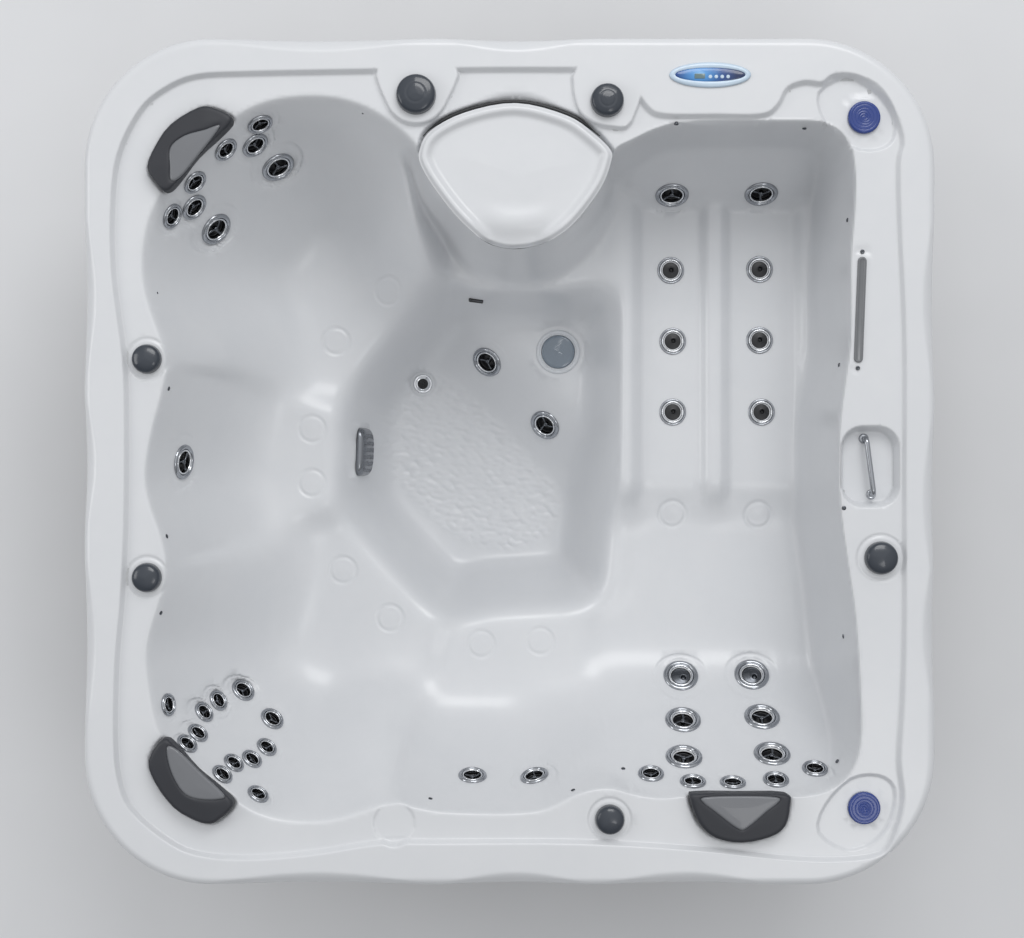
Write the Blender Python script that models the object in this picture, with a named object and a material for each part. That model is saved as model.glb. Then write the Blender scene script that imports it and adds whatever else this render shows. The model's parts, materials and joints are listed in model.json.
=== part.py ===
"""A free-standing hot tub: acrylic shell with a lounger, two corner seats, two small seats and a footwell,
its fittings, the cabinet round it and the pumps, filter and controls below it.

Metres, +Z up. The origin is the middle of the base on the floor. +Y is the side with the control panel and the
filter, +X the side with the lounger. Run it with blender --background --python part.py.
"""

import math

import bmesh
import bpy
import numpy as np
from mathutils import Matrix, Vector, geometry

# Overall sizes
WIDTH = 2.10
LENGTH = 2.09
HEIGHT = 0.90
CORNER_RADIUS = 0.32
GAP = 0.0003
OVERRUN = 0.004
ROUND_SIDES = 12
WIDE_SIDES = 16
CORNER_STEPS = 7

# Rim of the shell
SHELL_WALL = 0.006
LIP_DROP = 0.085
LIP_DRAFT = 0.004
LIP_RADIUS = 0.022
STEP_DROP = 0.016
STEP_RUN = 0.022
WAVE_DEPTH = 0.034
WAVE_SLOPE = 0.42
EDGE_DROP = 0.004
EDGE_BLEND = 0.016

# Seats: pan is the height above the floor, run is how far the sloping back reaches in from the basin's edge
CORNER_SEAT_PAN = 0.40
SIDE_SEAT_PAN = 0.44
LEG_PAN = 0.455
LOUNGE_SEAT_PAN = 0.41
LANDING_PAN = 0.49
CORNER_SEAT_DEPTH = HEIGHT - CORNER_SEAT_PAN
SIDE_SEAT_DEPTH = HEIGHT - SIDE_SEAT_PAN
LEG_DEPTH = HEIGHT - LEG_PAN
LOUNGE_SEAT_DEPTH = HEIGHT - LOUNGE_SEAT_PAN
LANDING_DEPTH = HEIGHT - LANDING_PAN
CORNER_BACK_RUN = 0.42
SIDE_BACK_RUN = 0.40
SIDE_BACK_POWER = 3.0
LOUNGE_BACK_RUN = 0.42
FOOT_REST_DROP = 0.21
FOOT_REST_SLOPE = 1.59
FOOT_REST_BLEND = 0.03
LOUNGE_SIDE_RUN = 0.04
LANDING_BACK_RUN = 0.07
BACK_POWER = 2.0
BACK_OVERDEPTH = 0.02
SEAT_BLEND = 0.07
RIDGE_RISE = 0.024
RIDGE_RUN = 0.11
BEYOND_SLOPE = 2.0
CHANNEL_DEPTH = 0.024
CHANNEL_EDGE = 0.018
LOUNGE_STEP_RUN = 0.16
BASIN_ROUNDING = 0.022

# Footwell
FOOT_FLOOR = 0.10
FOOT_BRIM = 0.475
FOOT_DEPTH = HEIGHT - FOOT_FLOOR
FOOT_BRIM_DEPTH = HEIGHT - FOOT_BRIM
FOOT_WALL_RUN = 0.11
FOOT_WALL_POWER = 1.5
FOOT_BLEND = 0.08
LEDGE_RISE = 0.165
LEDGE_SLOPE = 0.85
LEDGE_BLEND = 0.03

# Pockets moulded into the rim
LID_LEDGE_DROP = 0.040
PILLOW_POCKET_DROP = 0.030
CAP_POCKET_DROP = 0.022
RAIL_POCKET_DROP = 0.055
RAIL_POCKET_RADIUS = 0.045
RAIL_POCKET_WIDTH = 0.128
RAIL_POCKET_LENGTH = 0.182
CAP_POCKET_RADIUS = 0.060
BLANK_POCKET_DROP = 0.020
BLANK_RADIUS = 0.050
POCKET_SLOPE = 6.0

# Outlines and places are shares of the half width and the half length, counted from the middle
BASIN_SHARES = (
    (-.211, .737), (-.18, .65), (-.119, .574), (-.06, .524), (.015, .503), (.084, .515), (.133, .543),
    (.178, .584), (.22, .652), (.246, .726), (.293, .754), (.35, .782), (.425, .797), (.64, .799),
    (.741, .794), (.79, .76), (.807, .69), (.807, .6), (.798, .475), (.798, .288), (.786, .198), (.772, .08),
    (.772, -.05), (.776, -.136), (.793, -.257), (.809, -.378), (.82, -.56), (.818, -.67), (.795, -.735),
    (.75, -.775), (.68, -.792), (.543, -.79), (.425, -.79), (.355, -.797), (.293, -.785), (.24, -.765),
    (.199, -.766), (.159, -.778), (.121, -.80), (.072, -.82), (-.02, -.827), (-.157, -.823), (-.225, -.811),
    (-.277, -.801), (-.338, -.818), (-.406, -.842), (-.472, -.846), (-.534, -.842), (-.609, -.818),
    (-.729, -.726), (-.814, -.652), (-.833, -.58), (-.85, -.463), (-.845, -.416), (-.82, -.34),
    (-.80, -.26), (-.812, -.183), (-.84, -.1), (-.85, -.03), (-.838, .06), (-.815, .15), (-.80, .24),
    (-.826, .321), (-.85, .389), (-.859, .472), (-.842, .576), (-.812, .633), (-.734, .719), (-.654, .80),
    (-.60, .835), (-.534, .853), (-.458, .858), (-.397, .853), (-.324, .827), (-.263, .785))
STEP_SHARES = (
    (-.9, .239), (-.925, .438), (-.928, .589), (-.914, .716), (-.864, .821), (-.806, .873), (-.731, .904),
    (-.605, .911), (-.35, .916), (-.05, .92), (.118, .92), (.228, .918), (.266, .905), (.291, .875),
    (.322, .83), (.36, .812), (.48, .811), (.59, .812), (.628, .836), (.65, .875), (.69, .89), (.729, .887),
    (.754, .904), (.785, .908), (.822, .897), (.885, .843), (.918, .76), (.909, .70), (.912, .55),
    (.923, .286), (.923, -.05), (.923, -.373), (.918, -.561), (.91, -.702), (.918, -.796), (.89, -.895),
    (.855, -.925), (.759, -.935), (.635, -.93), (.422, -.908), (.15, -.893), (-.156, -.893), (-.305, -.895),
    (-.455, -.918), (-.605, -.93), (-.717, -.923), (-.792, -.894), (-.881, -.819), (-.912, -.746),
    (-.921, -.648), (-.918, -.476), (-.905, -.32), (-.897, -.15), (-.895, .08))
FOOTWELL_SHARES = (
    (-.40, .215), (-.424, .15), (-.432, .0), (-.437, -.09), (-.41, -.16), (-.30, -.288), (-.19, -.395),
    (-.12, -.40), (-.051, -.383), (.131, -.371), (.225, -.35), (.245, -.256), (.258, -.082), (.265, .118),
    (.265, .38), (.25, .43), (.131, .433), (-.08, .437), (-.14, .452), (-.20, .425), (-.297, .345))
LID_SHARES = (
    (-.211, .729), (-.186, .776), (-.104, .82), (.015, .842), (.134, .813), (.197, .771), (.237, .731),
    (.237, .703), (.216, .647), (.165, .576), (.12, .534), (.071, .511), (.015, .501), (-.034, .508),
    (-.074, .529), (-.127, .579), (-.179, .647), (-.207, .696))
PILLOW_SHARES = {
    "pillow_top_left": (
        (-.845, .689), (-.826, .738), (-.789, .79), (-.723, .83), (-.686, .828), (-.644, .804),
        (-.668, .770), (-.728, .714), (-.774, .653), (-.802, .630), (-.828, .656)),
    "pillow_bottom_left": (
        (-.807, -.647), (-.842, -.698), (-.826, -.752), (-.782, -.811), (-.73, -.842), (-.7, -.849),
        (-.679, -.842), (-.641, -.804), (-.668, -.772), (-.728, -.722), (-.776, -.668)),
    "pillow_lounger": (
        (.419, -.788), (.431, -.776), (.539, -.776), (.646, -.778), (.655, -.804), (.644, -.853),
        (.609, -.879), (.541, -.893), (.478, -.881), (.44, -.846))}
KNOB_PAD_SHARES = (
    ((-.303, .93), (-.291, .849), (-.261, .806), (-.218, .792), (-.176, .806), (-.144, .849), (-.127, .93)),
    ((.16, .93), (.155, .84), (.188, .80), (.239, .785), (.286, .797), (.31, .93)))

# Ridges between the seats, each drawn so that the first-named seat lies on its left
RIDGE_CORNER_SIDE_SHARES = ((-.875, .237), (-.432, .149))
RIDGE_SIDE_CORNER_SHARES = ((-.875, -.266), (-.447, -.131))
RIDGE_BOTTOM_CORNER_SHARES = ((-.156, -.405), (-.288, -.864))
RIDGE_LOUNGE_BOTTOM_SHARES = ((.200, -.40), (.238, -.838))
RIDGE_LOUNGE_FOOTWELL_SHARES = ((.30, .75), (.268, -.35))
RIDGE_SWAP_SHARES = (-.42, -.32)
TOP_SEAT_END_SHARE = -.05
LOUNGE_BACK_EDGE_SHARE = -.797
LOUNGE_FOOT_EDGE_SHARE = .799
LOUNGE_KNEE_SHARE = -.04
CHANNEL_SHARES = ((.325, .505), (.553, .748))
LANDING_SIDE_SHARES = (-.16, .30)
LANDING_FRONT_SHARE = .30
LEDGE_SHARES = ((.141, -.08), (-.194, .251))

# Lens-shaped facets along the outer edge: side, start and end as shares of that side's half length
FACET_SHARES = {
    "back": ((-.73, -.17), (-.17, .2)),
    "front": ((-.73, -.17), (-.17, .2), (.2, .62)),
    "left": ((-.66, -.2), (-.18, .17), (.17, .6)),
    "right": ((-.6, -.2), (-.32, .14), (.14, .6))}

# Jets: share of half width, share of half length, and the size that is fitted there
JET_RADIUS = {"large": 0.043, "medium": 0.035, "small": 0.0315, "mini": 0.0272}
JET_THROAT_RATIO = 0.62
JET_FLANGE = 0.006
JET_BODY_DEPTH = 0.062
JET_CLEARANCE = 0.0005
JET_SEAT_MARGIN = 0.0025
JET_SEGMENTS = 8
NOZZLE_RATIO = 0.60
NOZZLE_RECESS = 0.004
NOZZLE_PROUD = 0.002
NOZZLE_DEPTH = 0.018
NOZZLE_EYE_RATIO = 0.35
NOZZLE_CROWN_RATIO = 0.80
PIPE_RADIUS = 0.014
JETS = {
    "jets_top_left_seat": (
        (-.5945, .8079, "small"), (-.6144, .7676, "medium"), (-.5733, .7328, "large"), (-.7264, .5782, "large"),
        (-.7613, .617, "medium"), (-.8055, .5887, "small"), (-.7490, .668, "small"), (-.6755, .746, "small")),
    "jets_left_seat": ((-.7957, -.0012, "large"),),
    "jets_bottom_left_seat": (
        (-.8113, -.5805, "mini"), (-.7651, -.6733, "mini"), (-.7495, -.6564, "mini"), (-.7469, -.6157, "mini"),
        (-.7224, -.5953, "mini"), (-.6726, -.5804, "small"), (-.5976, -.651, "small"), (-.5996, -.709, "mini"),
        (-.6267, -.7273, "mini"), (-.6625, -.7280, "mini"), (-.6805, -.7450, "mini"), (-.5985, -.7959, "mini")),
    "jets_bottom_seat": ((-.0905, -.7718, "medium"), (.0606, -.7705, "medium")),
    "jets_lounger_back": (
        (.4418, -.5552, "large"), (.625, -.5528, "large"), (.6351, -.6457, "large"), (.4355, -.6519, "large"),
        (.4253, -.7236, "large"), (.6415, -.7181, "large")),
    "jets_lounger_shoulders": (
        (.3398, -.7540, "small"), (.4374, -.7675, "small"), (.5322, -.7691, "small"), (.6365, -.7643, "small"),
        (.7369, -.7452, "small")),
    "jets_lounger_legs": (
        (.4169, .4967, "medium"), (.4221, .3125, "medium"), (.4221, .1284, "medium"), (.6518, .1284, "medium"),
        (.6467, .3151, "medium"), (.6467, .4993, "medium")),
    "jets_lounger_feet": ((.4161, .6856, "large"), (.6440, .6880, "large")),
    "jets_footwell": ((-.0615, .2733, "large"), (.0973, .1005, "large"))}
TURNING_JETS = (
    ("nozzle_top_left_right", "jets_top_left_seat", 2), ("nozzle_top_left_left", "jets_top_left_seat", 3),
    ("nozzle_left_seat", "jets_left_seat", 0), ("nozzle_lounger_foot_left", "jets_lounger_feet", 0),
    ("nozzle_lounger_foot_right", "jets_lounger_feet", 1))

# Fittings that stand on the rim
DIVERTER_RADIUS = 0.049
SMALL_DIVERTER_RADIUS = 0.041
AIR_KNOB_RADIUS = 0.0365
WIDE_AIR_KNOB_RADIUS = 0.041
KNOB_HEIGHT = 0.030
KNOB_DOME = ((0, 1), (.55, .93), (.86, .68), (.97, .32), (1, 0))
KNOB_STEM_RADIUS = 0.012
KNOB_STEM_DEPTH = 0.050
KNOB_MARGIN = 0.006
KNOBS = {
    "diverter_knob_left": (-.218, .86, DIVERTER_RADIUS),
    "diverter_knob_right": (.228, .846, SMALL_DIVERTER_RADIUS),
    "air_knob_left_back": (-.849, .241, AIR_KNOB_RADIUS),
    "air_knob_left_front": (-.849, -.273, AIR_KNOB_RADIUS),
    "air_knob_front": (.235, -.842, AIR_KNOB_RADIUS),
    "air_knob_right": (.87, -.227, WIDE_AIR_KNOB_RADIUS)}
CAP_RADIUS = 0.040
CAP_HEIGHT = 0.012
CAP_DOME = ((0, .7), (.6, .7), (.75, 1), (.92, 1), (1, .6), (1, 0))
CAP_SKIRT_RADIUS = 0.030
CAP_SKIRT_DEPTH = 0.035
CAPS = {"corner_cap_back": (.831, .81), "corner_cap_front": (.831, -.816)}
BLANK_SHARE = (-.27, -.851)
PANEL_SHARE = (.468, .906)
PANEL_HALF_LENGTH = 0.100
PANEL_HALF_WIDTH = 0.031
PANEL_HEIGHT = 0.007
PANEL_STUB_RATIO = 0.72
PANEL_STUB_DEPTH = 0.030
PANEL_SEGMENTS = 20
BUTTON_RADIUS = 0.0055
BUTTON_CLEARANCE = 0.0005
BUTTON_HEIGHT = 0.0045
BUTTON_WELL = 0.0045
BUTTON_TRAVEL = 0.001
BUTTON_PITCH = 0.0145
BUTTON_SIDES = 10
BUTTON_DOME = ((1, 0), (1, .8), (.7, 1), (0, 1))
BUTTON_OFFSET = -0.005
SPOUT_SHARES = ((.826, .471), (.817, .243))
SPOUT_WIDTH = 0.022
SPOUT_HEIGHT = 0.005
SPOUT_SHOULDER = 0.6
SPOUT_TOP_RATIOS = (0.97, 0.8)
SPOUT_END_RATIO = 0.98
SPOUT_NECK_RADIUS = 0.008
SPOUT_NECK_DEPTH = 0.045
RAIL_POCKET_SHARE = (.846, -.012)
RAIL_TURN = math.radians(7.5)
RAIL_RADIUS = 0.0065
RAIL_SPAN = 0.140
RAIL_RISE = 0.034
RAIL_BEND = 0.014
RAIL_BEND_RATIO = 0.3

# Fittings in the footwell
LIGHT_SHARE = (.131, .2965)
LIGHT_LENS_RADIUS = 0.047
LIGHT_RING_RADIUS = 0.062
LIGHT_THROAT_RADIUS = 0.040
LIGHT_DEPTH = 0.050
LIGHT_LENS_HEIGHT = 0.010
LIGHT_SEAT_RATIO = 0.4
LIGHT_BORE_RATIO = 0.8
LIGHT_CREST_RATIO = 0.93
LENS_DOME = ((1, 0), (1, .4), (.6, .9), (0, 1))
SUCTION_SHARE = (-.395, .0256)
SUCTION_HALF_WIDTH = 0.068
SUCTION_HALF_HEIGHT = 0.056
SUCTION_CORNER = 0.022
SUCTION_HEIGHT = 0.024
SUCTION_THROAT_RADIUS = 0.028
SUCTION_BODY_DEPTH = 0.070
DRAIN_SHARE = (-.241, .217)
DRAIN_RADIUS = 0.028
DRAIN_THROAT_RADIUS = 0.015
DRAIN_DEPTH = 0.045
DRAIN_DOME = ((0, .4), (.6, .4), (.7, .7), (1, .3), (1, 0))

# Filter under its lid
LID_GAP = 0.004
LID_EDGE = 0.010
LID_RIM_WIDTH = 0.036
LID_DISH = 0.012
LID_TOP_PROUD = 0.004
FILTER_SHARE = (.013, .690)
FILTER_RADIUS = 0.125
FILTER_WALL = 0.005
FILTER_FLANGE = 0.012
FILTER_DEPTH = 0.36
CARTRIDGE_RADIUS = 0.085
CARTRIDGE_BORE = 0.025
CARTRIDGE_HEIGHT = 0.26
CARTRIDGE_PLEATS = 24
CARTRIDGE_PLEAT_DEPTH = 0.006

# Pillows
PILLOW_INSET = 0.0035
PILLOW_HEIGHT = 0.048
PILLOW_SPACING = 0.035
PILLOW_LEVELS = ((0.006, 0), (0.0, .25), (0.002, .65), (0.012, .95), (0.030, 1.1))

# Cabinet, frame and base
BASE_THICKNESS = 0.020
BASE_INSET = 0.040
CABINET_INSET = 0.048
CABINET_TOP_GAP = 0.003
PANEL_BOARD = 0.016
CORNER_POST_RUN = 0.330
POST_CLEARANCE = 0.002
GROOVES = 5
GROOVE_DEPTH = 0.004
GROOVE_WIDTH = 0.010
FRAME_INSET = 0.072
FRAME_BOARD = 0.032
FRAME_BEAM = 0.060
FRAME_DROP = 0.100
FRAME_CUT_SHARE = 0.62
FRAME_POST_SHARES = ((1, .45), (1, -.45), (-1, .45), (-1, -.45), (.3, 1), (-.3, 1), (.3, -1), (-.3, -1))
FRAME_POST_RATIO = 0.9
FRAME_POST_CLEARANCE = 0.002
BLOCK_SHARE = (-.16, .02)
BLOCK_LENGTH = 0.29
BLOCK_WIDTH = 0.20

# Equipment below the seats
PUMP_AXIS_HEIGHT = 0.170
PUMP_BODY_RADIUS = 0.085
PUMP_BODY_LENGTH = 0.240
PUMP_WET_RADIUS = 0.105
PUMP_WET_LENGTH = 0.110
PUMP_WALL = 0.010
PUMP_FOOT_SPAN = (0.8, 0.2)
PUMP_FOOT_RATIO = 0.7
PUMP_EYE_RATIO = 3.0
PUMP_PORT_RATIO = 2.6
PUMP_PORT_RISE = 0.55
PUMP_SHARE = (-.60, .78)
IMPELLER_RADIUS = 0.062
IMPELLER_THICKNESS = 0.030
IMPELLER_EDGE = 0.3
SHAFT_RADIUS = 0.010
SHAFT_CLEARANCE = 0.0006
SHAFT_DEPTH = 0.030
CIRC_SHARE = .60
CIRC_CLEARANCE = 0.008
CIRC_RADIUS = 0.055
CIRC_LENGTH = 0.150
CIRC_DOME = ((1, 0), (1, 1), (.6, 1.15), (0, 1.15))
CIRC_PORT_SHARE = 0.8
PACK_SIZE = (0.36, 0.14, 0.24)
PACK_SHARE = (.02, .790)
HEATER_RADIUS = 0.038
HEATER_LENGTH = 0.340
HEATER_COLLAR_RATIO = 0.5
OZONE_SIZE = (0.12, 0.06, 0.16)
OZONE_SHARE = (.40, .840)
VALVE_RADIUS = 0.018
VALVE_RISE_RATIO = 1.2
VALVE_LENGTH_RATIO = 5.0
VALVE_CLEARANCE = 0.001
VALVE_FOOT_RATIO = 0.6

HALF = np.array([WIDTH / 2, LENGTH / 2])


# Shapes of the shell's surface

def place(share):
    """Metres for a pair of shares of the half width and half length."""
    return np.array(share, float) * HALF


def closed_curve(shares, per_span=4):
    """Smooth closed outline: Catmull-Rom spline through the given shares, in metres."""
    points = np.array(shares, float) * HALF
    before, start, end, after = (np.roll(points, shift, 0)[:, None, :] for shift in (1, 0, -1, -2))
    t = (np.arange(per_span) / per_span)[None, :, None]
    line = 0.5 * (2 * start + (end - before) * t + (2 * before - 5 * start + 4 * end - after) * t ** 2
                  + (3 * start - before - 3 * end + after) * t ** 3)
    return line.reshape(-1, 2)


def inside_distance(x, y, loop):
    """Distance from points to a closed outline, positive inside it."""
    points = np.stack([np.ravel(x), np.ravel(y)], 1)[:, None, :]
    start, end = loop, np.roll(loop, -1, 0)
    edge = end - start
    offset = points - start
    along = np.clip((offset * edge).sum(2) / (edge * edge).sum(1), 0, 1)
    away = np.sqrt(((offset - along[..., None] * edge) ** 2).sum(2).min(1))
    spans = (start[:, 1] > points[..., 1]) != (end[:, 1] > points[..., 1])
    rise = np.where(edge[:, 1] == 0, 1.0, edge[:, 1])
    crossing = start[:, 0] + (points[..., 1] - start[:, 1]) / rise * edge[:, 0]
    inside = (spans & (points[..., 0] < crossing)).sum(1) % 2 == 1
    return np.where(inside, away, -away).reshape(np.shape(x))


def box_distance(x, y, centre, half, radius, turn=0.0):
    """Distance to a rounded rectangle, positive inside it."""
    dx, dy = x - centre[0], y - centre[1]
    u = np.abs(dx * math.cos(turn) + dy * math.sin(turn)) - (half[0] - radius)
    v = np.abs(dy * math.cos(turn) - dx * math.sin(turn)) - (half[1] - radius)
    outside = np.hypot(np.maximum(u, 0), np.maximum(v, 0)) + np.minimum(np.maximum(u, v), 0)
    return radius - outside


def left_of(x, y, ridge_shares):
    """Distance to the left of a line drawn through two places."""
    a, b = place(ridge_shares[0]), place(ridge_shares[1])
    along = (b - a) / np.linalg.norm(b - a)
    return along[0] * (y - a[1]) - along[1] * (x - a[0])


def ramp(value, low, high):
    """0 below low, 1 above high, smooth between them."""
    t = np.clip((value - low) / (high - low), 0, 1)
    return t * t * (3 - 2 * t)


def soft_max(a, b, blend):
    """The higher of two surfaces, with a fillet where they meet."""
    h = np.maximum(blend - np.abs(a - b), 0) / blend
    return np.maximum(a, b) + h * h * blend / 4


def soft_min(a, b, blend):
    """The lower of two surfaces, with a rounded edge where they meet."""
    return -soft_max(-a, -b, blend)


def back(distance, run, depth, power=BACK_POWER):
    """Height of a concave back below the basin's edge, at a distance in from that edge."""
    t = np.clip(distance / run, None, 1)
    curved = 1 - np.maximum(1 - t, 0) ** power
    return -depth * np.where(t < 0, power * t, curved)


BASIN = closed_curve(BASIN_SHARES)
STEP_LINE = closed_curve(STEP_SHARES)
FOOTWELL = closed_curve(FOOTWELL_SHARES)
LID_LINE = closed_curve(LID_SHARES)
PILLOW_LINES = {name: closed_curve(shares, 3) for name, shares in PILLOW_SHARES.items()}
KNOB_PADS = [closed_curve(shares, 3) for shares in KNOB_PAD_SHARES]
EDGE_HEIGHT = HEIGHT - STEP_DROP - EDGE_DROP


def ridge_climb(outside):
    """Rise of a seat's side: nothing in the seat, RIDGE_RISE at the ridge, steeper beyond it."""
    return RIDGE_RISE * (np.maximum(outside + RIDGE_RUN, 0) / RIDGE_RUN) ** 2


def seat(distance, pan, run, outside, power=BACK_POWER):
    """A seat: its back, its pan and the sides that climb to the ridges, all lifted beyond the ridges."""
    wall = EDGE_HEIGHT + back(distance, run, pan + BACK_OVERDEPTH, power)
    lifted = BEYOND_SLOPE * np.maximum(outside, 0)
    return soft_max(wall, HEIGHT - pan + ridge_climb(outside), SEAT_BLEND) + lifted


def lounger(x, y, distance, outside):
    """The lounger: leg channels, seat, sloping back, slanted foot rest and steep sides."""
    half_length = HALF[1]
    knee = LOUNGE_KNEE_SHARE * half_length
    step = ramp(knee - y, 0, LOUNGE_STEP_RUN)
    pan = HEIGHT - LEG_DEPTH - (LOUNGE_SEAT_DEPTH - LEG_DEPTH) * step
    for low, high in CHANNEL_SHARES:
        middle, half = (low + high) / 2 * HALF[0], (high - low) / 2 * HALF[0]
        trough = 1 - ramp(np.abs(x - middle), half - CHANNEL_EDGE, half + CHANNEL_EDGE / 2)
        pan = pan - CHANNEL_DEPTH * trough * (1 - step)
    pan = pan + CHANNEL_DEPTH * (1 - step) + ridge_climb(outside)
    behind = EDGE_HEIGHT + back(y - LOUNGE_BACK_EDGE_SHARE * half_length, LOUNGE_BACK_RUN, LOUNGE_SEAT_DEPTH)
    foot = HEIGHT - FOOT_REST_DROP - FOOT_REST_SLOPE * (LOUNGE_FOOT_EDGE_SHARE * half_length - y)
    side = EDGE_HEIGHT + back(distance, LOUNGE_SIDE_RUN, LOUNGE_SEAT_DEPTH + BACK_OVERDEPTH)
    lying = soft_max(soft_max(pan, foot, FOOT_REST_BLEND), behind, SEAT_BLEND)
    return soft_max(lying, side, SEAT_BLEND)


def footwell(x, y, distance):
    """The footwell: steep walls, flat floor and the slanted ledge that carries the light."""
    wall = HEIGHT - FOOT_BRIM_DEPTH + back(distance, FOOT_WALL_RUN, FOOT_DEPTH - FOOT_BRIM_DEPTH
                                           + BACK_OVERDEPTH, FOOT_WALL_POWER)
    up = -left_of(x, y, LEDGE_SHARES)
    slant = soft_min(LEDGE_SLOPE * up, LEDGE_RISE + 0 * up, LEDGE_BLEND)
    floor = HEIGHT - FOOT_DEPTH + soft_max(slant, 0 * up, LEDGE_BLEND)
    return soft_max(wall, floor, FOOT_BLEND)


def sharp_basin(x, y):
    """The basin before its edges are rounded: the lowest of the seats, lounger, landing and footwell."""
    distance = inside_distance(x, y, BASIN)
    top_side = left_of(x, y, RIDGE_CORNER_SIDE_SHARES)
    side_low = left_of(x, y, RIDGE_SIDE_CORNER_SHARES)
    bottom_low = left_of(x, y, RIDGE_BOTTOM_CORNER_SHARES)
    swap = ramp(y, RIDGE_SWAP_SHARES[0] * HALF[1], RIDGE_SWAP_SHARES[1] * HALF[1])
    lounge = (left_of(x, y, RIDGE_LOUNGE_BOTTOM_SHARES) * (1 - swap)
              + left_of(x, y, RIDGE_LOUNGE_FOOTWELL_SHARES) * swap)
    seats = [
        seat(distance, CORNER_SEAT_DEPTH, CORNER_BACK_RUN,
             np.maximum(-top_side, x - TOP_SEAT_END_SHARE * HALF[0])),
        seat(distance, SIDE_SEAT_DEPTH, SIDE_BACK_RUN, np.maximum(top_side, -side_low), SIDE_BACK_POWER),
        seat(distance, CORNER_SEAT_DEPTH, CORNER_BACK_RUN, np.maximum(side_low, bottom_low)),
        seat(distance, SIDE_SEAT_DEPTH, SIDE_BACK_RUN,
             np.maximum(-bottom_low, left_of(x, y, RIDGE_LOUNGE_BOTTOM_SHARES)), SIDE_BACK_POWER),
        lounger(x, y, distance, -lounge),
        seat(distance, LANDING_DEPTH, LANDING_BACK_RUN,
             np.maximum(np.maximum(LANDING_SIDE_SHARES[0] * HALF[0] - x, x - LANDING_SIDE_SHARES[1] * HALF[0]),
                        LANDING_FRONT_SHARE * HALF[1] - y))]
    lowest = seats[0]
    for other in seats[1:]:
        lowest = np.minimum(lowest, other)
    return np.minimum(lowest, footwell(x, y, inside_distance(x, y, FOOTWELL)))


def rounded_basin(x, y):
    """The basin with its edges rounded: the mean height over a small disc."""
    total = 2 * sharp_basin(x, y)
    weight = 2
    for radius, count in ((BASIN_ROUNDING / 2, 6), (BASIN_ROUNDING, 6)):
        for index in range(count):
            angle = 2 * math.pi * index / count + radius
            total = total + sharp_basin(x + radius * math.cos(angle), y + radius * math.sin(angle))
            weight += 1
    return total / weight


def facet_depth(x, y):
    """How far in from the outer edge the lens-shaped facets reach."""
    depth = 0 * x
    for side, spans in FACET_SHARES.items():
        along = x / HALF[0] if side in ("front", "back") else y / HALF[1]
        near = {"front": y < -abs(HALF[1] - CORNER_RADIUS), "back": y > HALF[1] - CORNER_RADIUS,
                "left": x < -abs(HALF[0] - CORNER_RADIUS), "right": x > HALF[0] - CORNER_RADIUS}[side]
        for low, high in spans:
            t = np.clip((along - low) / (high - low), 0, 1)
            depth = np.maximum(depth, np.where(near, np.sin(math.pi * t) * WAVE_DEPTH, 0))
    return depth


def rim(x, y):
    """The rim: rounded outer lip with lens facets, raised border and lower shelf, raised knob pads."""
    inset = box_distance(x, y, (0, 0), HALF, CORNER_RADIUS)
    shelf = ramp(inside_distance(x, y, STEP_LINE), -STEP_RUN / 2, STEP_RUN / 2)
    for pad in KNOB_PADS:
        shelf = shelf * (1 - ramp(inside_distance(x, y, pad), -STEP_RUN / 4, STEP_RUN / 4))
    top = HEIGHT - STEP_DROP * shelf
    top = top - WAVE_SLOPE * np.maximum(facet_depth(x, y) + LIP_DRAFT - inset, 0)
    across = np.clip((inset - LIP_DRAFT) / LIP_RADIUS, 0, 1)
    corner = LIP_RADIUS * (1 - np.sqrt(np.maximum(1 - (1 - across) ** 2, 0)))
    below = np.maximum(LIP_DRAFT - inset, 0) * (LIP_DROP - LIP_RADIUS) / LIP_DRAFT
    return top - corner - below


def pocket(surface, distance, floor):
    """Cuts a flat-bottomed pocket with steep sides into a surface."""
    return np.minimum(surface, floor + POCKET_SLOPE * np.maximum(-distance, 0))


def shell_height(x, y):
    """Height of the shell's upper face."""
    surface = soft_min(rim(x, y), rounded_basin(x, y), EDGE_BLEND)
    surface = pocket(surface, inside_distance(x, y, LID_LINE) + LID_GAP, HEIGHT - LID_LEDGE_DROP)
    for line in PILLOW_LINES.values():
        surface = pocket(surface, inside_distance(x, y, line), HEIGHT - PILLOW_POCKET_DROP)
    for share in CAPS.values():
        centre = place(share)
        away = CAP_POCKET_RADIUS - np.hypot(x - centre[0], y - centre[1])
        surface = pocket(surface, away, HEIGHT - CAP_POCKET_DROP)
    centre = place(BLANK_SHARE)
    away = BLANK_RADIUS - np.hypot(x - centre[0], y - centre[1])
    surface = pocket(surface, away, HEIGHT - BLANK_POCKET_DROP)
    away = box_distance(x, y, place(RAIL_POCKET_SHARE), (RAIL_POCKET_WIDTH / 2, RAIL_POCKET_LENGTH / 2),
                        RAIL_POCKET_RADIUS)
    return pocket(surface, away, HEIGHT - RAIL_POCKET_DROP)


SLOPE_STEP = 0.006


def surface_normal(x, y):
    """Unit normals of the shell's upper face."""
    east = shell_height(x + SLOPE_STEP, y) - shell_height(x - SLOPE_STEP, y)
    north = shell_height(x, y + SLOPE_STEP) - shell_height(x, y - SLOPE_STEP)
    normal = np.stack([-east, -north, np.full(np.shape(x), 2 * SLOPE_STEP)], -1)
    return normal / np.linalg.norm(normal, axis=-1, keepdims=True)


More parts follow.
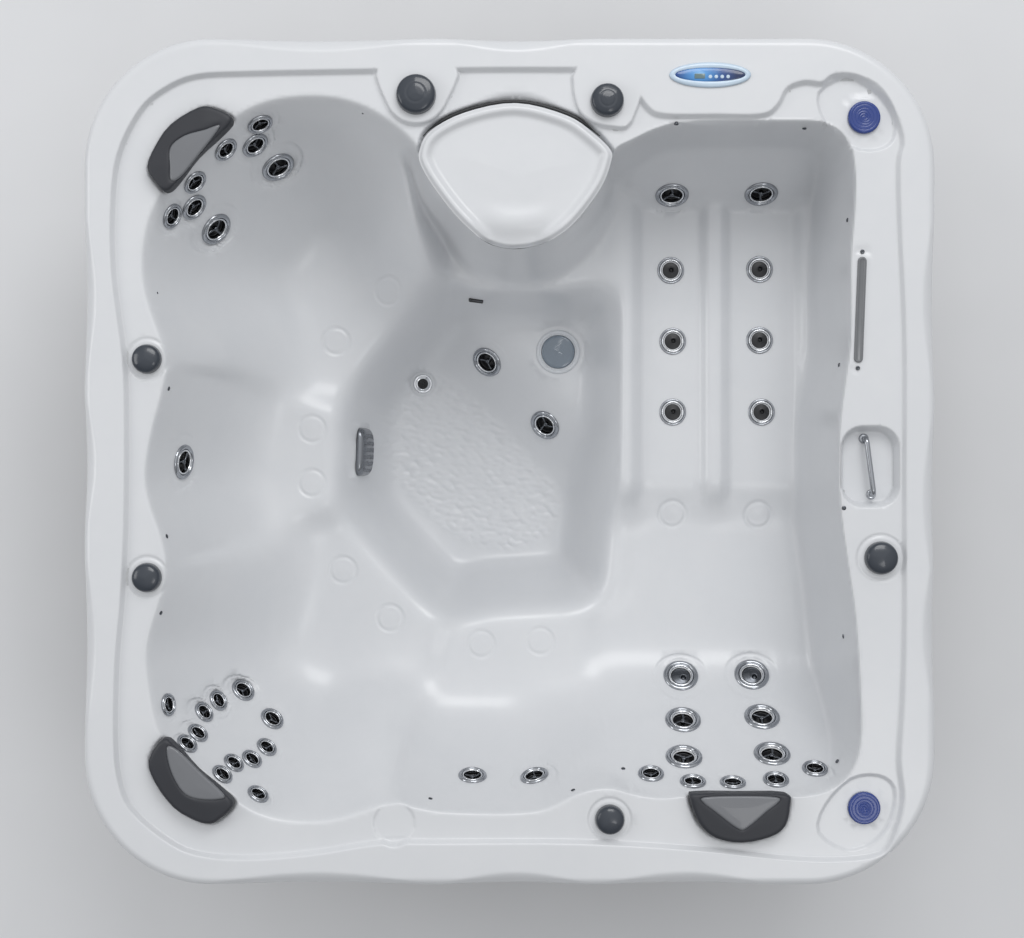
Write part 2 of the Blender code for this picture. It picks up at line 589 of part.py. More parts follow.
class Seating:
    """A flat spot on the shell: its middle, its normal and two directions across it."""

    def __init__(self, share, level=False, turn=0.0, normal=None):
        x, y = place(share)
        height = float(shell_height(np.array([x]), np.array([y]))[0])
        self.middle = Vector((x, y, height))
        if level:
            self.normal = Vector((0, 0, 1))
            self.across = Vector((math.cos(turn), math.sin(turn), 0))
        else:
            self.normal = Vector(surface_normal(np.array([x]), np.array([y]))[0])
            self.across = self.normal.cross(Vector((0, 0, 1)))
            if self.across.length < 1e-3:
                self.across = Vector((1, 0, 0))
            self.across.normalize()
        self.up = self.normal.cross(self.across)

    def point(self, u, v, w=0.0):
        return self.middle + self.across * u + self.up * v + self.normal * w

    def matrix(self):
        """Matrix that carries local x, y, z to across, up and normal at this spot."""
        turn = Matrix((self.across, self.up, self.normal)).transposed().to_4x4()
        return Matrix.Translation(self.middle) @ turn


def ring(radius, count, phase=0.5):
    """Points of a regular polygon in a plane."""
    step = 2 * math.pi / count
    return [(radius * math.cos(step * (i + phase)), radius * math.sin(step * (i + phase)))
            for i in range(count)]


def oval(half_length, half_width, count):
    """Points of an ellipse in a plane."""
    return [(half_length * u, half_width * v) for u, v in ring(1.0, count)]


def rounded_rectangle(half_u, half_v, radius, per_corner=3):
    """Points of a rectangle with rounded corners."""
    points = []
    for index, (su, sv) in enumerate(((1, 1), (-1, 1), (-1, -1), (1, -1))):
        for step in range(per_corner):
            angle = math.pi / 2 * (index + step / max(per_corner - 1, 1))
            points.append((su * (half_u - radius) + radius * math.cos(angle),
                           sv * (half_v - radius) + radius * math.sin(angle)))
    return points


class Fitting:
    """A hole through the shell with a flat seat round it."""

    def __init__(self, seating, seat_outline, hole_outline):
        self.seating = seating
        self.seat_outline = seat_outline
        self.hole_outline = hole_outline
        self.size = max(math.hypot(u, v) for u, v in seat_outline)


JET_SEATINGS = {group: [Seating((x, y)) for x, y, _ in jets] for group, jets in JETS.items()}
KNOB_SEATINGS = {name: Seating((x, y), level=True) for name, (x, y, _) in KNOBS.items()}
CAP_SEATINGS = {name: Seating(share, level=True) for name, share in CAPS.items()}
PANEL_SEATING = Seating(PANEL_SHARE, level=True)
SPOUT_ENDS = [place(share) for share in SPOUT_SHARES]
SPOUT_VECTOR = SPOUT_ENDS[1] - SPOUT_ENDS[0]
SPOUT_LENGTH = float(np.linalg.norm(SPOUT_VECTOR)) + SPOUT_WIDTH
SPOUT_SEATING = Seating(tuple((np.array(SPOUT_SHARES[0]) + np.array(SPOUT_SHARES[1])) / 2), level=True,
                        turn=math.atan2(SPOUT_VECTOR[1], SPOUT_VECTOR[0]))
LIGHT_SEATING = Seating(LIGHT_SHARE)
SUCTION_SEATING = Seating(SUCTION_SHARE)
DRAIN_SEATING = Seating(DRAIN_SHARE, level=True)
FILTER_SEATING = Seating(FILTER_SHARE, level=True)


def jet_throat(size):
    return JET_RADIUS[size] * JET_THROAT_RATIO


def shell_fittings():
    """Every hole in the shell with its flat seat."""
    fittings = []
    for group, jets in JETS.items():
        for seating, (_, _, size) in zip(JET_SEATINGS[group], jets):
            fittings.append(Fitting(seating, ring(JET_RADIUS[size] + JET_SEAT_MARGIN, JET_SEGMENTS),
                                    ring(jet_throat(size) + JET_CLEARANCE, JET_SEGMENTS)))
    for name, (_, _, radius) in KNOBS.items():
        fittings.append(Fitting(KNOB_SEATINGS[name], ring(radius + KNOB_MARGIN, ROUND_SIDES),
                                ring(KNOB_STEM_RADIUS + JET_CLEARANCE, ROUND_SIDES)))
    for seating in CAP_SEATINGS.values():
        fittings.append(Fitting(seating, ring(CAP_RADIUS + KNOB_MARGIN, WIDE_SIDES),
                                ring(CAP_SKIRT_RADIUS + JET_CLEARANCE, WIDE_SIDES)))
    fittings.append(Fitting(PANEL_SEATING,
                            oval(PANEL_HALF_LENGTH + KNOB_MARGIN, PANEL_HALF_WIDTH + KNOB_MARGIN,
                                 PANEL_SEGMENTS),
                            oval(PANEL_HALF_LENGTH * PANEL_STUB_RATIO + JET_CLEARANCE,
                                 PANEL_HALF_WIDTH * PANEL_STUB_RATIO + JET_CLEARANCE, PANEL_SEGMENTS)))
    fittings.append(Fitting(SPOUT_SEATING,
                            rounded_rectangle(SPOUT_LENGTH / 2 + JET_SEAT_MARGIN,
                                              SPOUT_WIDTH / 2 + JET_SEAT_MARGIN, SPOUT_WIDTH / 2, 4),
                            ring(SPOUT_NECK_RADIUS + JET_CLEARANCE, ROUND_SIDES)))
    fittings.append(Fitting(LIGHT_SEATING, ring(LIGHT_RING_RADIUS + JET_SEAT_MARGIN, WIDE_SIDES),
                            ring(LIGHT_THROAT_RADIUS + JET_CLEARANCE, WIDE_SIDES)))
    fittings.append(Fitting(SUCTION_SEATING,
                            rounded_rectangle(SUCTION_HALF_WIDTH + JET_SEAT_MARGIN,
                                              SUCTION_HALF_HEIGHT + JET_SEAT_MARGIN, SUCTION_CORNER),
                            ring(SUCTION_THROAT_RADIUS + JET_CLEARANCE, ROUND_SIDES)))
    fittings.append(Fitting(DRAIN_SEATING, ring(DRAIN_RADIUS + JET_SEAT_MARGIN, ROUND_SIDES),
                            ring(DRAIN_THROAT_RADIUS + JET_CLEARANCE, ROUND_SIDES)))
    flange = FILTER_RADIUS + FILTER_FLANGE + JET_SEAT_MARGIN
    fittings.append(Fitting(FILTER_SEATING, ring(flange, WIDE_SIDES),
                            ring(FILTER_RADIUS + JET_CLEARANCE, WIDE_SIDES)))
    return fittings


# Points of the shell's mesh
OUTLINE_SPACING = 0.17
STEP_SPACING = 0.14
BASIN_SPACING = 0.115
FOOT_SPACING = 0.11
POCKET_SPACING = 0.045
FILL_SPACING = 0.13
FILL_CLEARANCE = 0.040
LOOP_CLEARANCE = 0.005
EDGE_CLEARANCE = 0.001
SEAT_PROUD = 0.015
STEEP_COSINE = math.cos(math.radians(72))
SKIRT_RATIO = 1.3
EDGE_TESTS = (0.125, 0.25, 0.375, 0.5, 0.625, 0.75, 0.875)


def resample(loop, spacing):
    """Even points along a closed outline."""
    closed = np.vstack([loop, loop[:1]])
    length = np.concatenate([[0], np.cumsum(np.linalg.norm(np.diff(closed, axis=0), axis=1))])
    count = max(int(round(length[-1] / spacing)), 6)
    at = np.arange(count) / count * length[-1]
    return np.stack([np.interp(at, length, closed[:, k]) for k in (0, 1)], 1)


def offset_loop(loop, distance):
    """Moves an outline inwards by a distance."""
    along = np.roll(loop, -1, 0) - np.roll(loop, 1, 0)
    along /= np.linalg.norm(along, axis=1, keepdims=True)
    area = np.sum(loop[:, 0] * np.roll(loop[:, 1], -1) - np.roll(loop[:, 0], -1) * loop[:, 1])
    inward = np.stack([-along[:, 1], along[:, 0]], 1) * math.copysign(1, area)
    return loop + inward * distance


def outer_loop(inset, spacing):
    """The rounded-square outline, inset by a distance: straight sides and round corners."""
    points = []
    radius = CORNER_RADIUS - inset
    for index, (sx, sy) in enumerate(((1, 1), (-1, 1), (-1, -1), (1, -1))):
        for step in range(CORNER_STEPS):
            angle = math.pi / 2 * (index + step / (CORNER_STEPS - 1))
            points.append((sx * (HALF[0] - CORNER_RADIUS) + radius * math.cos(angle),
                           sy * (HALF[1] - CORNER_RADIUS) + radius * math.sin(angle)))
        ends = ((-1, 1), (-1, -1), (1, -1), (1, 1))[index]
        angle = math.pi / 2 * (index + 1)
        finish = np.array((ends[0] * (HALF[0] - CORNER_RADIUS) + radius * math.cos(angle),
                           ends[1] * (HALF[1] - CORNER_RADIUS) + radius * math.sin(angle)))
        start = np.array(points[-1])
        count = int(np.linalg.norm(finish - start) / spacing)
        points += [tuple(start + (finish - start) * k / (count + 1)) for k in range(1, count + 1)]
    return np.array(points)


def raised(line):
    """Places as spots on the shell's upper face."""
    line = np.array(line, float)
    return np.column_stack([line, shell_height(line[:, 0], line[:, 1])])


def near_seats(fittings, spots, margin):
    """Whether each spot lies above or below a fitting's flat seat, or close before or behind it."""
    middles = np.array([f.seating.middle for f in fittings])
    normals = np.array([f.seating.normal for f in fittings])
    sizes = np.array([f.size for f in fittings]) + margin
    away = spots[:, None, :] - middles
    proud = (away * normals).sum(-1)
    beside = np.linalg.norm(away - proud[..., None] * normals, axis=-1)
    away[..., 2] -= proud / normals[:, 2]
    across = np.linalg.norm(away, axis=-1)
    return ((across < sizes) | ((np.abs(proud) < SEAT_PROUD) & (beside < sizes))).any(1)


def shell_mesh():
    """Vertices and faces of the shell: a triangulated upper face, its copy one wall below, and their edges."""
    fittings = shell_fittings()
    points, fixed, loops = [], {}, []

    def add_loop(line, keep_all=False):
        start, count = len(points), len(line)
        spots = raised(line)
        after = np.roll(spots, -1, 0)
        usable = keep_all | ~near_seats(fittings, spots, LOOP_CLEARANCE)
        whole = usable & np.roll(usable, -1)
        if not keep_all:
            for t in EDGE_TESTS:
                whole &= ~near_seats(fittings, spots * (1 - t) + after * t, EDGE_CLEARANCE)
        points.extend(tuple(spot[:2]) if free else None for spot, free in zip(spots, usable))
        loops.extend((start + index, start + (index + 1) % count) for index in range(count) if whole[index])
        return list(range(start, start + count))

    boundary = add_loop(outer_loop(0, OUTLINE_SPACING), keep_all=True)
    for inset in (LIP_DRAFT, LIP_DRAFT + LIP_RADIUS, LIP_DRAFT + WAVE_DEPTH + LIP_RADIUS):
        add_loop(outer_loop(inset, OUTLINE_SPACING))
    for inset in (-STEP_RUN / 2, STEP_RUN / 2):
        add_loop(offset_loop(resample(STEP_LINE, STEP_SPACING), inset))
    for inset in (-EDGE_BLEND / 2, EDGE_BLEND, EDGE_BLEND * 3, EDGE_BLEND * 6):
        add_loop(offset_loop(resample(BASIN, BASIN_SPACING), inset))
    for inset in (-BASIN_ROUNDING, BASIN_ROUNDING / 2, FOOT_WALL_RUN / 2, FOOT_WALL_RUN):
        add_loop(offset_loop(resample(FOOTWELL, FOOT_SPACING), inset))
    steep = 1 / POCKET_SLOPE
    for line, drop in [(offset_loop(LID_LINE, -LID_GAP), LID_LEDGE_DROP)] + [
            (line, PILLOW_POCKET_DROP) for line in PILLOW_LINES.values()]:
        sparse = resample(line, POCKET_SPACING)
        add_loop(sparse)
        add_loop(offset_loop(sparse, -drop * steep))
    rail = place(RAIL_POCKET_SHARE) + np.array(rounded_rectangle(
        RAIL_POCKET_WIDTH / 2, RAIL_POCKET_LENGTH / 2, RAIL_POCKET_RADIUS, 4))
    add_loop(rail)
    add_loop(offset_loop(rail, -(RAIL_POCKET_DROP - STEP_DROP) * steep))
    for share in CAPS.values():
        add_loop(place(share) + np.array(ring(CAP_POCKET_RADIUS, WIDE_SIDES)))
    add_loop(place(BLANK_SHARE) + np.array(ring(BLANK_RADIUS, 10)))
    for fitting in fittings:
        if fitting.seating.normal.z < STEEP_COSINE:
            skirt = [fitting.seating.point(u * SKIRT_RATIO, v * SKIRT_RATIO) for u, v in fitting.seat_outline]
            add_loop([(spot.x, spot.y) for spot in skirt])

    holes = []
    for fitting in fittings:
        for outline in (fitting.seat_outline, fitting.hole_outline):
            start = len(points)
            for u, v in outline:
                spot = fitting.seating.point(u, v)
                fixed[len(points)] = (spot, fitting.seating.normal)
                points.append((spot.x, spot.y))
            count = len(outline)
            loops.extend((start + i, start + (i + 1) % count) for i in range(count))
        holes.append(set(range(start, start + count)))

    known = np.array([p for p in points if p is not None])
    grid = []
    for row in range(int(LENGTH / FILL_SPACING)):
        for column in range(int(WIDTH / FILL_SPACING)):
            x = -HALF[0] + (column + 0.5 + 0.25 * (-1) ** row) * FILL_SPACING
            grid.append((x, -HALF[1] + (row + 0.5) * FILL_SPACING))
    grid = np.array(grid)
    apart = np.linalg.norm(grid[:, None, :] - known, axis=-1).min(1) > FILL_CLEARANCE
    within = box_distance(grid[:, 0], grid[:, 1], (0, 0), HALF, CORNER_RADIUS) > LIP_DRAFT + LIP_RADIUS
    free = apart & within & ~near_seats(fittings, raised(grid), LOOP_CLEARANCE)
    points.extend(tuple(spot) for spot in grid[free])

    kept = [index for index, p in enumerate(points) if p is not None]
    renumber = {old: new for new, old in enumerate(kept)}
    edges = [(renumber[a], renumber[b]) for a, b in loops]
    coords = [Vector(points[index]) for index in kept]
    made, _, faces, origins, _, _ = geometry.delaunay_2d_cdt(coords, edges, [], 0, 1e-6, True)
    xy = np.array([tuple(p) for p in made])
    height = shell_height(xy[:, 0], xy[:, 1])
    normal = surface_normal(xy[:, 0], xy[:, 1])
    hole_of, is_edge = {}, set()
    boundary_set = {renumber[index] for index in boundary}
    for index, source in enumerate(origins):
        for new in source:
            old = kept[new]
            if old in fixed:
                spot, direction = fixed[old]
                height[index], normal[index] = spot.z, direction
                for number, hole in enumerate(holes):
                    if old in hole:
                        hole_of[index] = number
            if new in boundary_set:
                is_edge.add(index)
    for index in is_edge:
        x, y = xy[index]
        height[index] = HEIGHT - LIP_DROP
        inner = np.clip((x, y), -(HALF - CORNER_RADIUS), HALF - CORNER_RADIUS)
        away = np.array((x, y)) - inner
        if abs(abs(x) - HALF[0]) < 1e-5:
            away = np.array((x, 0.0))
        elif abs(abs(y) - HALF[1]) < 1e-5:
            away = np.array((0.0, y))
        away /= np.linalg.norm(away)
        normal[index] = (away[0], away[1], 0.0)
    upper = np.column_stack([xy, height])
    lower = upper - normal * SHELL_WALL
    count = len(upper)
    kept_faces = []
    for face in faces:
        numbers = {hole_of.get(index, -1) for index in face}
        if len(numbers) == 1 and -1 not in numbers:
            continue
        a, b, c = (upper[index][:2] for index in face)
        area = (b[0] - a[0]) * (c[1] - a[1]) - (b[1] - a[1]) * (c[0] - a[0])
        if abs(area) < 1e-10:
            continue
        kept_faces.append(tuple(face) if area > 0 else tuple(reversed(face)))
    sides = {}
    for face in kept_faces:
        for index in range(3):
            pair = (face[index], face[(index + 1) % 3])
            sides[pair] = True
    walls = [(b, a, a + count, b + count) for a, b in sides if (b, a) not in sides]
    under = [tuple(index + count for index in reversed(face)) for face in kept_faces]
    return np.vstack([upper, lower]), kept_faces + under + walls


# Objects

def clear_scene():
    for item in list(bpy.data.objects):
        bpy.data.objects.remove(item, do_unlink=True)


def material(name, colour, roughness, metallic=0.0):
    """A Principled material, made once for each name."""
    made = bpy.data.materials.get(name)
    if made is None:
        made = bpy.data.materials.new(name)
        made.use_nodes = True
        shader = made.node_tree.nodes["Principled BSDF"]
        shader.inputs["Base Color"].default_value = (*colour, 1.0)
        shader.inputs["Roughness"].default_value = roughness
        shader.inputs["Metallic"].default_value = metallic
    return made


def finishes():
    """The materials of the tub."""
    return {
        "acrylic": material("acrylic", (0.72, 0.74, 0.77), 0.18),
        "chrome": material("chrome", (0.62, 0.63, 0.65), 0.12, 1.0),
        "grey_plastic": material("grey_plastic", (0.055, 0.060, 0.070), 0.35),
        "pillow_foam": material("pillow_foam", (0.055, 0.056, 0.062), 0.6),
        "blue_plastic": material("blue_plastic", (0.03, 0.06, 0.28), 0.25),
        "clear_lens": material("clear_lens", (0.22, 0.27, 0.31), 0.15),
        "panel_blue": material("panel_blue", (0.03, 0.10, 0.30), 0.25),
        "white_plastic": material("white_plastic", (0.75, 0.76, 0.77), 0.4),
        "black_plastic": material("black_plastic", (0.02, 0.02, 0.022), 0.45),
        "cabinet_board": material("cabinet_board", (0.16, 0.15, 0.14), 0.6),
        "frame_timber": material("frame_timber", (0.45, 0.33, 0.20), 0.7),
        "foam_block": material("foam_block", (0.70, 0.66, 0.52), 0.9),
        "motor_paint": material("motor_paint", (0.05, 0.06, 0.07), 0.5),
        "filter_paper": material("filter_paper", (0.80, 0.80, 0.78), 0.85)}


FINISH = {}


def add_object(name, points, faces, finish, matrix=None, smooth=True, outward=True):
    """Puts a closed mesh in the scene with its normals outwards."""
    mesh = bpy.data.meshes.new(name)
    mesh.from_pydata([tuple(p) for p in points], [], [tuple(f) for f in faces])
    if outward:
        work = bmesh.new()
        work.from_mesh(mesh)
        bmesh.ops.recalc_face_normals(work, faces=work.faces)
        work.to_mesh(mesh)
        work.free()
    if smooth:
        mesh.shade_smooth()
        mesh.set_sharp_from_angle(angle=math.radians(35))
    mesh.materials.append(FINISH[finish])
    thing = bpy.data.objects.new(name, mesh)
    bpy.context.scene.collection.objects.link(thing)
    if matrix is not None:
        thing.matrix_world = matrix
    return thing


def turned_mesh(profile, segments, phase=0.5):
    """Solid of revolution about local Z: profile of (radius, height); a zero radius is a pole."""
    points, rings = [], []
    for radius, height in profile:
        if radius <= 0:
            rings.append([len(points)])
            points.append((0, 0, height))
        else:
            start = len(points)
            points += [(x, y, height) for x, y in ring(radius, segments, phase)]
            rings.append(list(range(start, start + segments)))
    faces = []
    closed = list(zip(rings, rings[1:]))
    if len(rings[0]) > 1 and len(rings[-1]) > 1:
        closed.append((rings[-1], rings[0]))
    for low, high in closed:
        for index in range(segments):
            after = (index + 1) % segments
            if len(low) == 1:
                faces.append((low[0], high[index], high[after]))
            elif len(high) == 1:
                faces.append((low[index], low[after], high[0]))
            else:
                faces.append((low[index], low[after], high[after], high[index]))
    return points, faces


def turned(name, profile, segments, finish, matrix=None, phase=0.5):
    points, faces = turned_mesh(profile, segments, phase)
    return add_object(name, points, faces, finish, matrix)


def slab_mesh(sections):
    """Solid through matching outlines, each a list of points: flat ends, straight sides."""
    count = len(sections[0])
    points = [p for section in sections for p in section]
    faces = [tuple(range(count)), tuple(range(len(points) - count, len(points)))]
    for level in range(len(sections) - 1):
        base = level * count
        for index in range(count):
            after = (index + 1) % count
            faces.append((base + index, base + after, base + count + after, base + count + index))
    return points, faces


def slab(name, sections, finish, matrix=None, smooth=False):
    points, faces = slab_mesh(sections)
    return add_object(name, points, faces, finish, matrix, smooth)


def box(name, low, high, finish, matrix=None):
    """A plain block between two corners."""
    x0, y0, z0 = low
    x1, y1, z1 = high
    outline = [(x0, y0), (x1, y0), (x1, y1), (x0, y1)]
    return slab(name, [[(x, y, z) for x, y in outline] for z in (z0, z1)], finish, matrix)


def boolean(target, other, operation):
    """Adds a Boolean to an object; the other shape is hidden from the render."""
    other.hide_render = True
    other.display_type = "WIRE"
    step = target.modifiers.new(operation.lower(), "BOOLEAN")
    step.operation = operation
    step.solver = "EXACT"
    step.object = other


def rod_between(name, start, end, radius, finish, segments=8):
    """A straight round bar from one place to another."""
    start, end = Vector(start), Vector(end)
    axis = end - start
    turn = axis.to_track_quat("Z", "Y").to_matrix().to_4x4()
    profile = [(0, 0), (radius, 0), (radius, axis.length), (0, axis.length)]
    return turned(name, profile, segments, finish, Matrix.Translation(start) @ turn)


def curve_tube(name, route, radius, finish, resolution=2):
    """A bent tube through points, with filled ends."""
    data = bpy.data.curves.new(name, "CURVE")
    data.dimensions = "3D"
    data.bevel_depth = radius
    data.bevel_resolution = resolution
    data.use_fill_caps = True
    line = data.splines.new("POLY")
    line.points.add(len(route) - 1)
    for point, spot in zip(line.points, route):
        point.co = (*spot, 1.0)
    data.materials.append(FINISH[finish])
    thing = bpy.data.objects.new(name, data)
    bpy.context.scene.collection.objects.link(thing)
    return thing


def flat_loop(loop, height):
    return [(x, y, height) for x, y in loop]


# Sub-parts

def make_shell():
    points, faces = shell_mesh()
    return add_object("shell", points, faces, "acrylic", outward=False)


def jet_profile(size, turning):
    """Domed flange on the shell, throat behind it, dish in front; a turning jet leaves room for its nozzle."""
    flange, throat = JET_RADIUS[size], jet_throat(size)
    dish = flange * NOZZLE_RATIO
    top = GAP + JET_FLANGE
    face = [(0, -NOZZLE_DEPTH), (dish, -NOZZLE_DEPTH)] if turning else [(0, top - NOZZLE_RECESS)]
    return face + [(dish, top), (flange, GAP), (throat, GAP), (throat, -JET_BODY_DEPTH), (0, -JET_BODY_DEPTH)]


def make_jets():
    """Each seat's jets: flanges and throats joined by the pipe that feeds them, and the nozzles that turn."""
    turning = {(group, index): name for name, group, index in TURNING_JETS}
    for group, jets in JETS.items():
        ends = []
        body = None
        for index, (seating, (_, _, size)) in enumerate(zip(JET_SEATINGS[group], jets)):
            name = group if body is None else f"{group}_piece_{index}"
            jet = turned(name, jet_profile(size, (group, index) in turning), JET_SEGMENTS, "chrome",
                         seating.matrix())
            ends.append(seating.point(0, 0, PIPE_RADIUS - JET_BODY_DEPTH))
            if body is None:
                body = jet
            else:
                boolean(body, jet, "UNION")
        if len(ends) == 1:
            seating = JET_SEATINGS[group][0]
            tail = seating.point(0, 0, PIPE_RADIUS - JET_BODY_DEPTH)
            ends.append(tail + Vector((0, 0, -JET_BODY_DEPTH)))
        for index, (start, end) in enumerate(zip(ends, ends[1:])):
            pipe = rod_between(f"{group}_pipe_{index}", start, end, PIPE_RADIUS, "grey_plastic", 5)
            boolean(body, pipe, "UNION")
    for name, group, index in TURNING_JETS:
        size = JETS[group][index][2]
        radius = JET_RADIUS[size] * NOZZLE_RATIO * math.cos(math.pi / JET_SEGMENTS) - GAP
        eye = radius * NOZZLE_EYE_RATIO
        top = GAP + JET_FLANGE + NOZZLE_PROUD
        floor = GAP - NOZZLE_DEPTH
        profile = [(eye, floor), (eye, top - NOZZLE_RECESS), (radius * NOZZLE_CROWN_RATIO, top),
                   (radius, top - NOZZLE_PROUD), (radius, floor)]
        turned(name, profile, JET_SEGMENTS, "chrome", JET_SEATINGS[group][index].matrix())


def dome(shares, radius, height):
    """A turned profile from shares of a radius and a height, standing a gap off its seat."""
    return [(radius * across, GAP + height * up) for across, up in shares]


def make_knobs():
    for name, (_, _, radius) in KNOBS.items():
        profile = dome(KNOB_DOME, radius, KNOB_HEIGHT) + [
            (KNOB_STEM_RADIUS, GAP), (KNOB_STEM_RADIUS, -KNOB_STEM_DEPTH), (0, -KNOB_STEM_DEPTH)]
        turned(name, profile, ROUND_SIDES, "grey_plastic", KNOB_SEATINGS[name].matrix())


def make_caps():
    for name, seating in CAP_SEATINGS.items():
        profile = dome(CAP_DOME, CAP_RADIUS, CAP_HEIGHT) + [
            (CAP_SKIRT_RADIUS, GAP), (CAP_SKIRT_RADIUS, -CAP_SKIRT_DEPTH), (0, -CAP_SKIRT_DEPTH)]
        turned(name, profile, WIDE_SIDES, "blue_plastic", seating.matrix())


def button_places():
    """Middles of the four buttons, in the panel's own plane."""
    return [(BUTTON_PITCH * index, BUTTON_OFFSET) for index in range(4)]


def make_control_panel():
    top = GAP + PANEL_HEIGHT
    stub = [(u * PANEL_STUB_RATIO, v * PANEL_STUB_RATIO)
            for u, v in oval(PANEL_HALF_LENGTH, PANEL_HALF_WIDTH, PANEL_SEGMENTS)]
    full = oval(PANEL_HALF_LENGTH, PANEL_HALF_WIDTH, PANEL_SEGMENTS)
    shoulder = oval(PANEL_HALF_LENGTH - PANEL_HEIGHT / 2, PANEL_HALF_WIDTH - PANEL_HEIGHT / 2, PANEL_SEGMENTS)
    sections = [flat_loop(stub, -PANEL_STUB_DEPTH), flat_loop(stub, GAP), flat_loop(full, GAP),
                flat_loop(full, top - PANEL_HEIGHT / 2), flat_loop(shoulder, top)]
    points, faces = slab_mesh(sections)
    panel = add_object("control_panel", points, faces, "panel_blue", PANEL_SEATING.matrix(), smooth=False)
    for index, (u, v) in enumerate(button_places()):
        place_matrix = PANEL_SEATING.matrix() @ Matrix.Translation((u, v, 0))
        well = BUTTON_RADIUS + BUTTON_CLEARANCE
        profile = [(0, top - BUTTON_WELL), (well, top - BUTTON_WELL), (well, top + OVERRUN), (0, top + OVERRUN)]
        cutter = turned(f"button_well_{index}", profile, BUTTON_SIDES, "black_plastic", place_matrix)
        boolean(panel, cutter, "DIFFERENCE")
        base = top - BUTTON_WELL + BUTTON_TRAVEL + GAP
        profile = [(0, base)] + [(BUTTON_RADIUS * across, base + BUTTON_HEIGHT * up)
                                 for across, up in BUTTON_DOME]
        turned(f"panel_button_{index + 1}", profile, BUTTON_SIDES, "white_plastic", place_matrix)


def make_waterfall():
    bar = rounded_rectangle(SPOUT_LENGTH / 2, SPOUT_WIDTH / 2, SPOUT_WIDTH / 2 * SPOUT_END_RATIO, 4)
    inner = [(u * SPOUT_TOP_RATIOS[0], v * SPOUT_TOP_RATIOS[1]) for u, v in bar]
    points, faces = slab_mesh([flat_loop(bar, GAP), flat_loop(bar, GAP + SPOUT_HEIGHT * SPOUT_SHOULDER),
                               flat_loop(inner, GAP + SPOUT_HEIGHT)])
    spout = add_object("waterfall_spout", points, faces, "grey_plastic", SPOUT_SEATING.matrix(), smooth=False)
    neck = turned("waterfall_neck", [(0, GAP + SPOUT_HEIGHT / 2), (SPOUT_NECK_RADIUS, GAP + SPOUT_HEIGHT / 2),
                                     (SPOUT_NECK_RADIUS, -SPOUT_NECK_DEPTH), (0, -SPOUT_NECK_DEPTH)],
                  ROUND_SIDES, "grey_plastic", SPOUT_SEATING.matrix())
    boolean(spout, neck, "UNION")


def make_grab_rail():
    centre = place(RAIL_POCKET_SHARE)
    floor = HEIGHT - RAIL_POCKET_DROP + GAP
    top = floor + RAIL_RISE
    half = RAIL_SPAN / 2
    knee = RAIL_BEND * RAIL_BEND_RATIO
    route = [(0, half, floor), (0, half, top - RAIL_BEND), (0, half - knee, top - knee),
             (0, half - RAIL_BEND, top), (0, -half + RAIL_BEND, top),
             (0, -half + knee, top - knee), (0, -half, top - RAIL_BEND), (0, -half, floor)]
    turn = Matrix.Translation((centre[0], centre[1], 0)) @ Matrix.Rotation(RAIL_TURN, 4, "Z")
    curve_tube("grab_rail", [turn @ Vector(spot) for spot in route], RAIL_RADIUS, "chrome")


def make_footwell_fittings():
    rim_top = GAP + JET_FLANGE
    bore, floor = LIGHT_THROAT_RADIUS * LIGHT_BORE_RATIO, GAP + JET_FLANGE * LIGHT_SEAT_RATIO
    housing = [(0, -LIGHT_DEPTH + PANEL_HEIGHT), (bore, -LIGHT_DEPTH + PANEL_HEIGHT), (bore, floor),
               (LIGHT_LENS_RADIUS + GAP, floor), (LIGHT_LENS_RADIUS + GAP, rim_top),
               (LIGHT_RING_RADIUS * LIGHT_CREST_RATIO, rim_top),
               (LIGHT_RING_RADIUS, GAP + JET_FLANGE / 3), (LIGHT_RING_RADIUS, GAP), (LIGHT_THROAT_RADIUS, GAP),
               (LIGHT_THROAT_RADIUS, -LIGHT_DEPTH), (0, -LIGHT_DEPTH)]
    turned("light_housing", housing, WIDE_SIDES, "white_plastic", LIGHT_SEATING.matrix())
    base = floor + GAP
    lens = [(0, base)] + [(LIGHT_LENS_RADIUS * across, base + LIGHT_LENS_HEIGHT * up)
                          for across, up in LENS_DOME]
    turned("light_lens", lens, WIDE_SIDES, "clear_lens", LIGHT_SEATING.matrix())

    outline = rounded_rectangle(SUCTION_HALF_WIDTH, SUCTION_HALF_HEIGHT, SUCTION_CORNER)
    inner = rounded_rectangle(SUCTION_HALF_WIDTH - SUCTION_CORNER / 2, SUCTION_HALF_HEIGHT - SUCTION_CORNER / 2,
                              SUCTION_CORNER / 2)
    slab("suction_cover", [flat_loop(outline, GAP), flat_loop(outline, GAP + SUCTION_HEIGHT / 2),
                           flat_loop(inner, GAP + SUCTION_HEIGHT)], "chrome", SUCTION_SEATING.matrix())
    body = [(0, 0), (SUCTION_THROAT_RADIUS, 0), (SUCTION_THROAT_RADIUS, -SUCTION_BODY_DEPTH),
            (0, -SUCTION_BODY_DEPTH)]
    turned("suction_body", body, ROUND_SIDES, "grey_plastic", SUCTION_SEATING.matrix())

    drain = dome(DRAIN_DOME, DRAIN_RADIUS, JET_FLANGE) + [
        (DRAIN_THROAT_RADIUS, GAP), (DRAIN_THROAT_RADIUS, -DRAIN_DEPTH), (0, -DRAIN_DEPTH)]
    turned("floor_drain", drain, ROUND_SIDES, "chrome", DRAIN_SEATING.matrix())


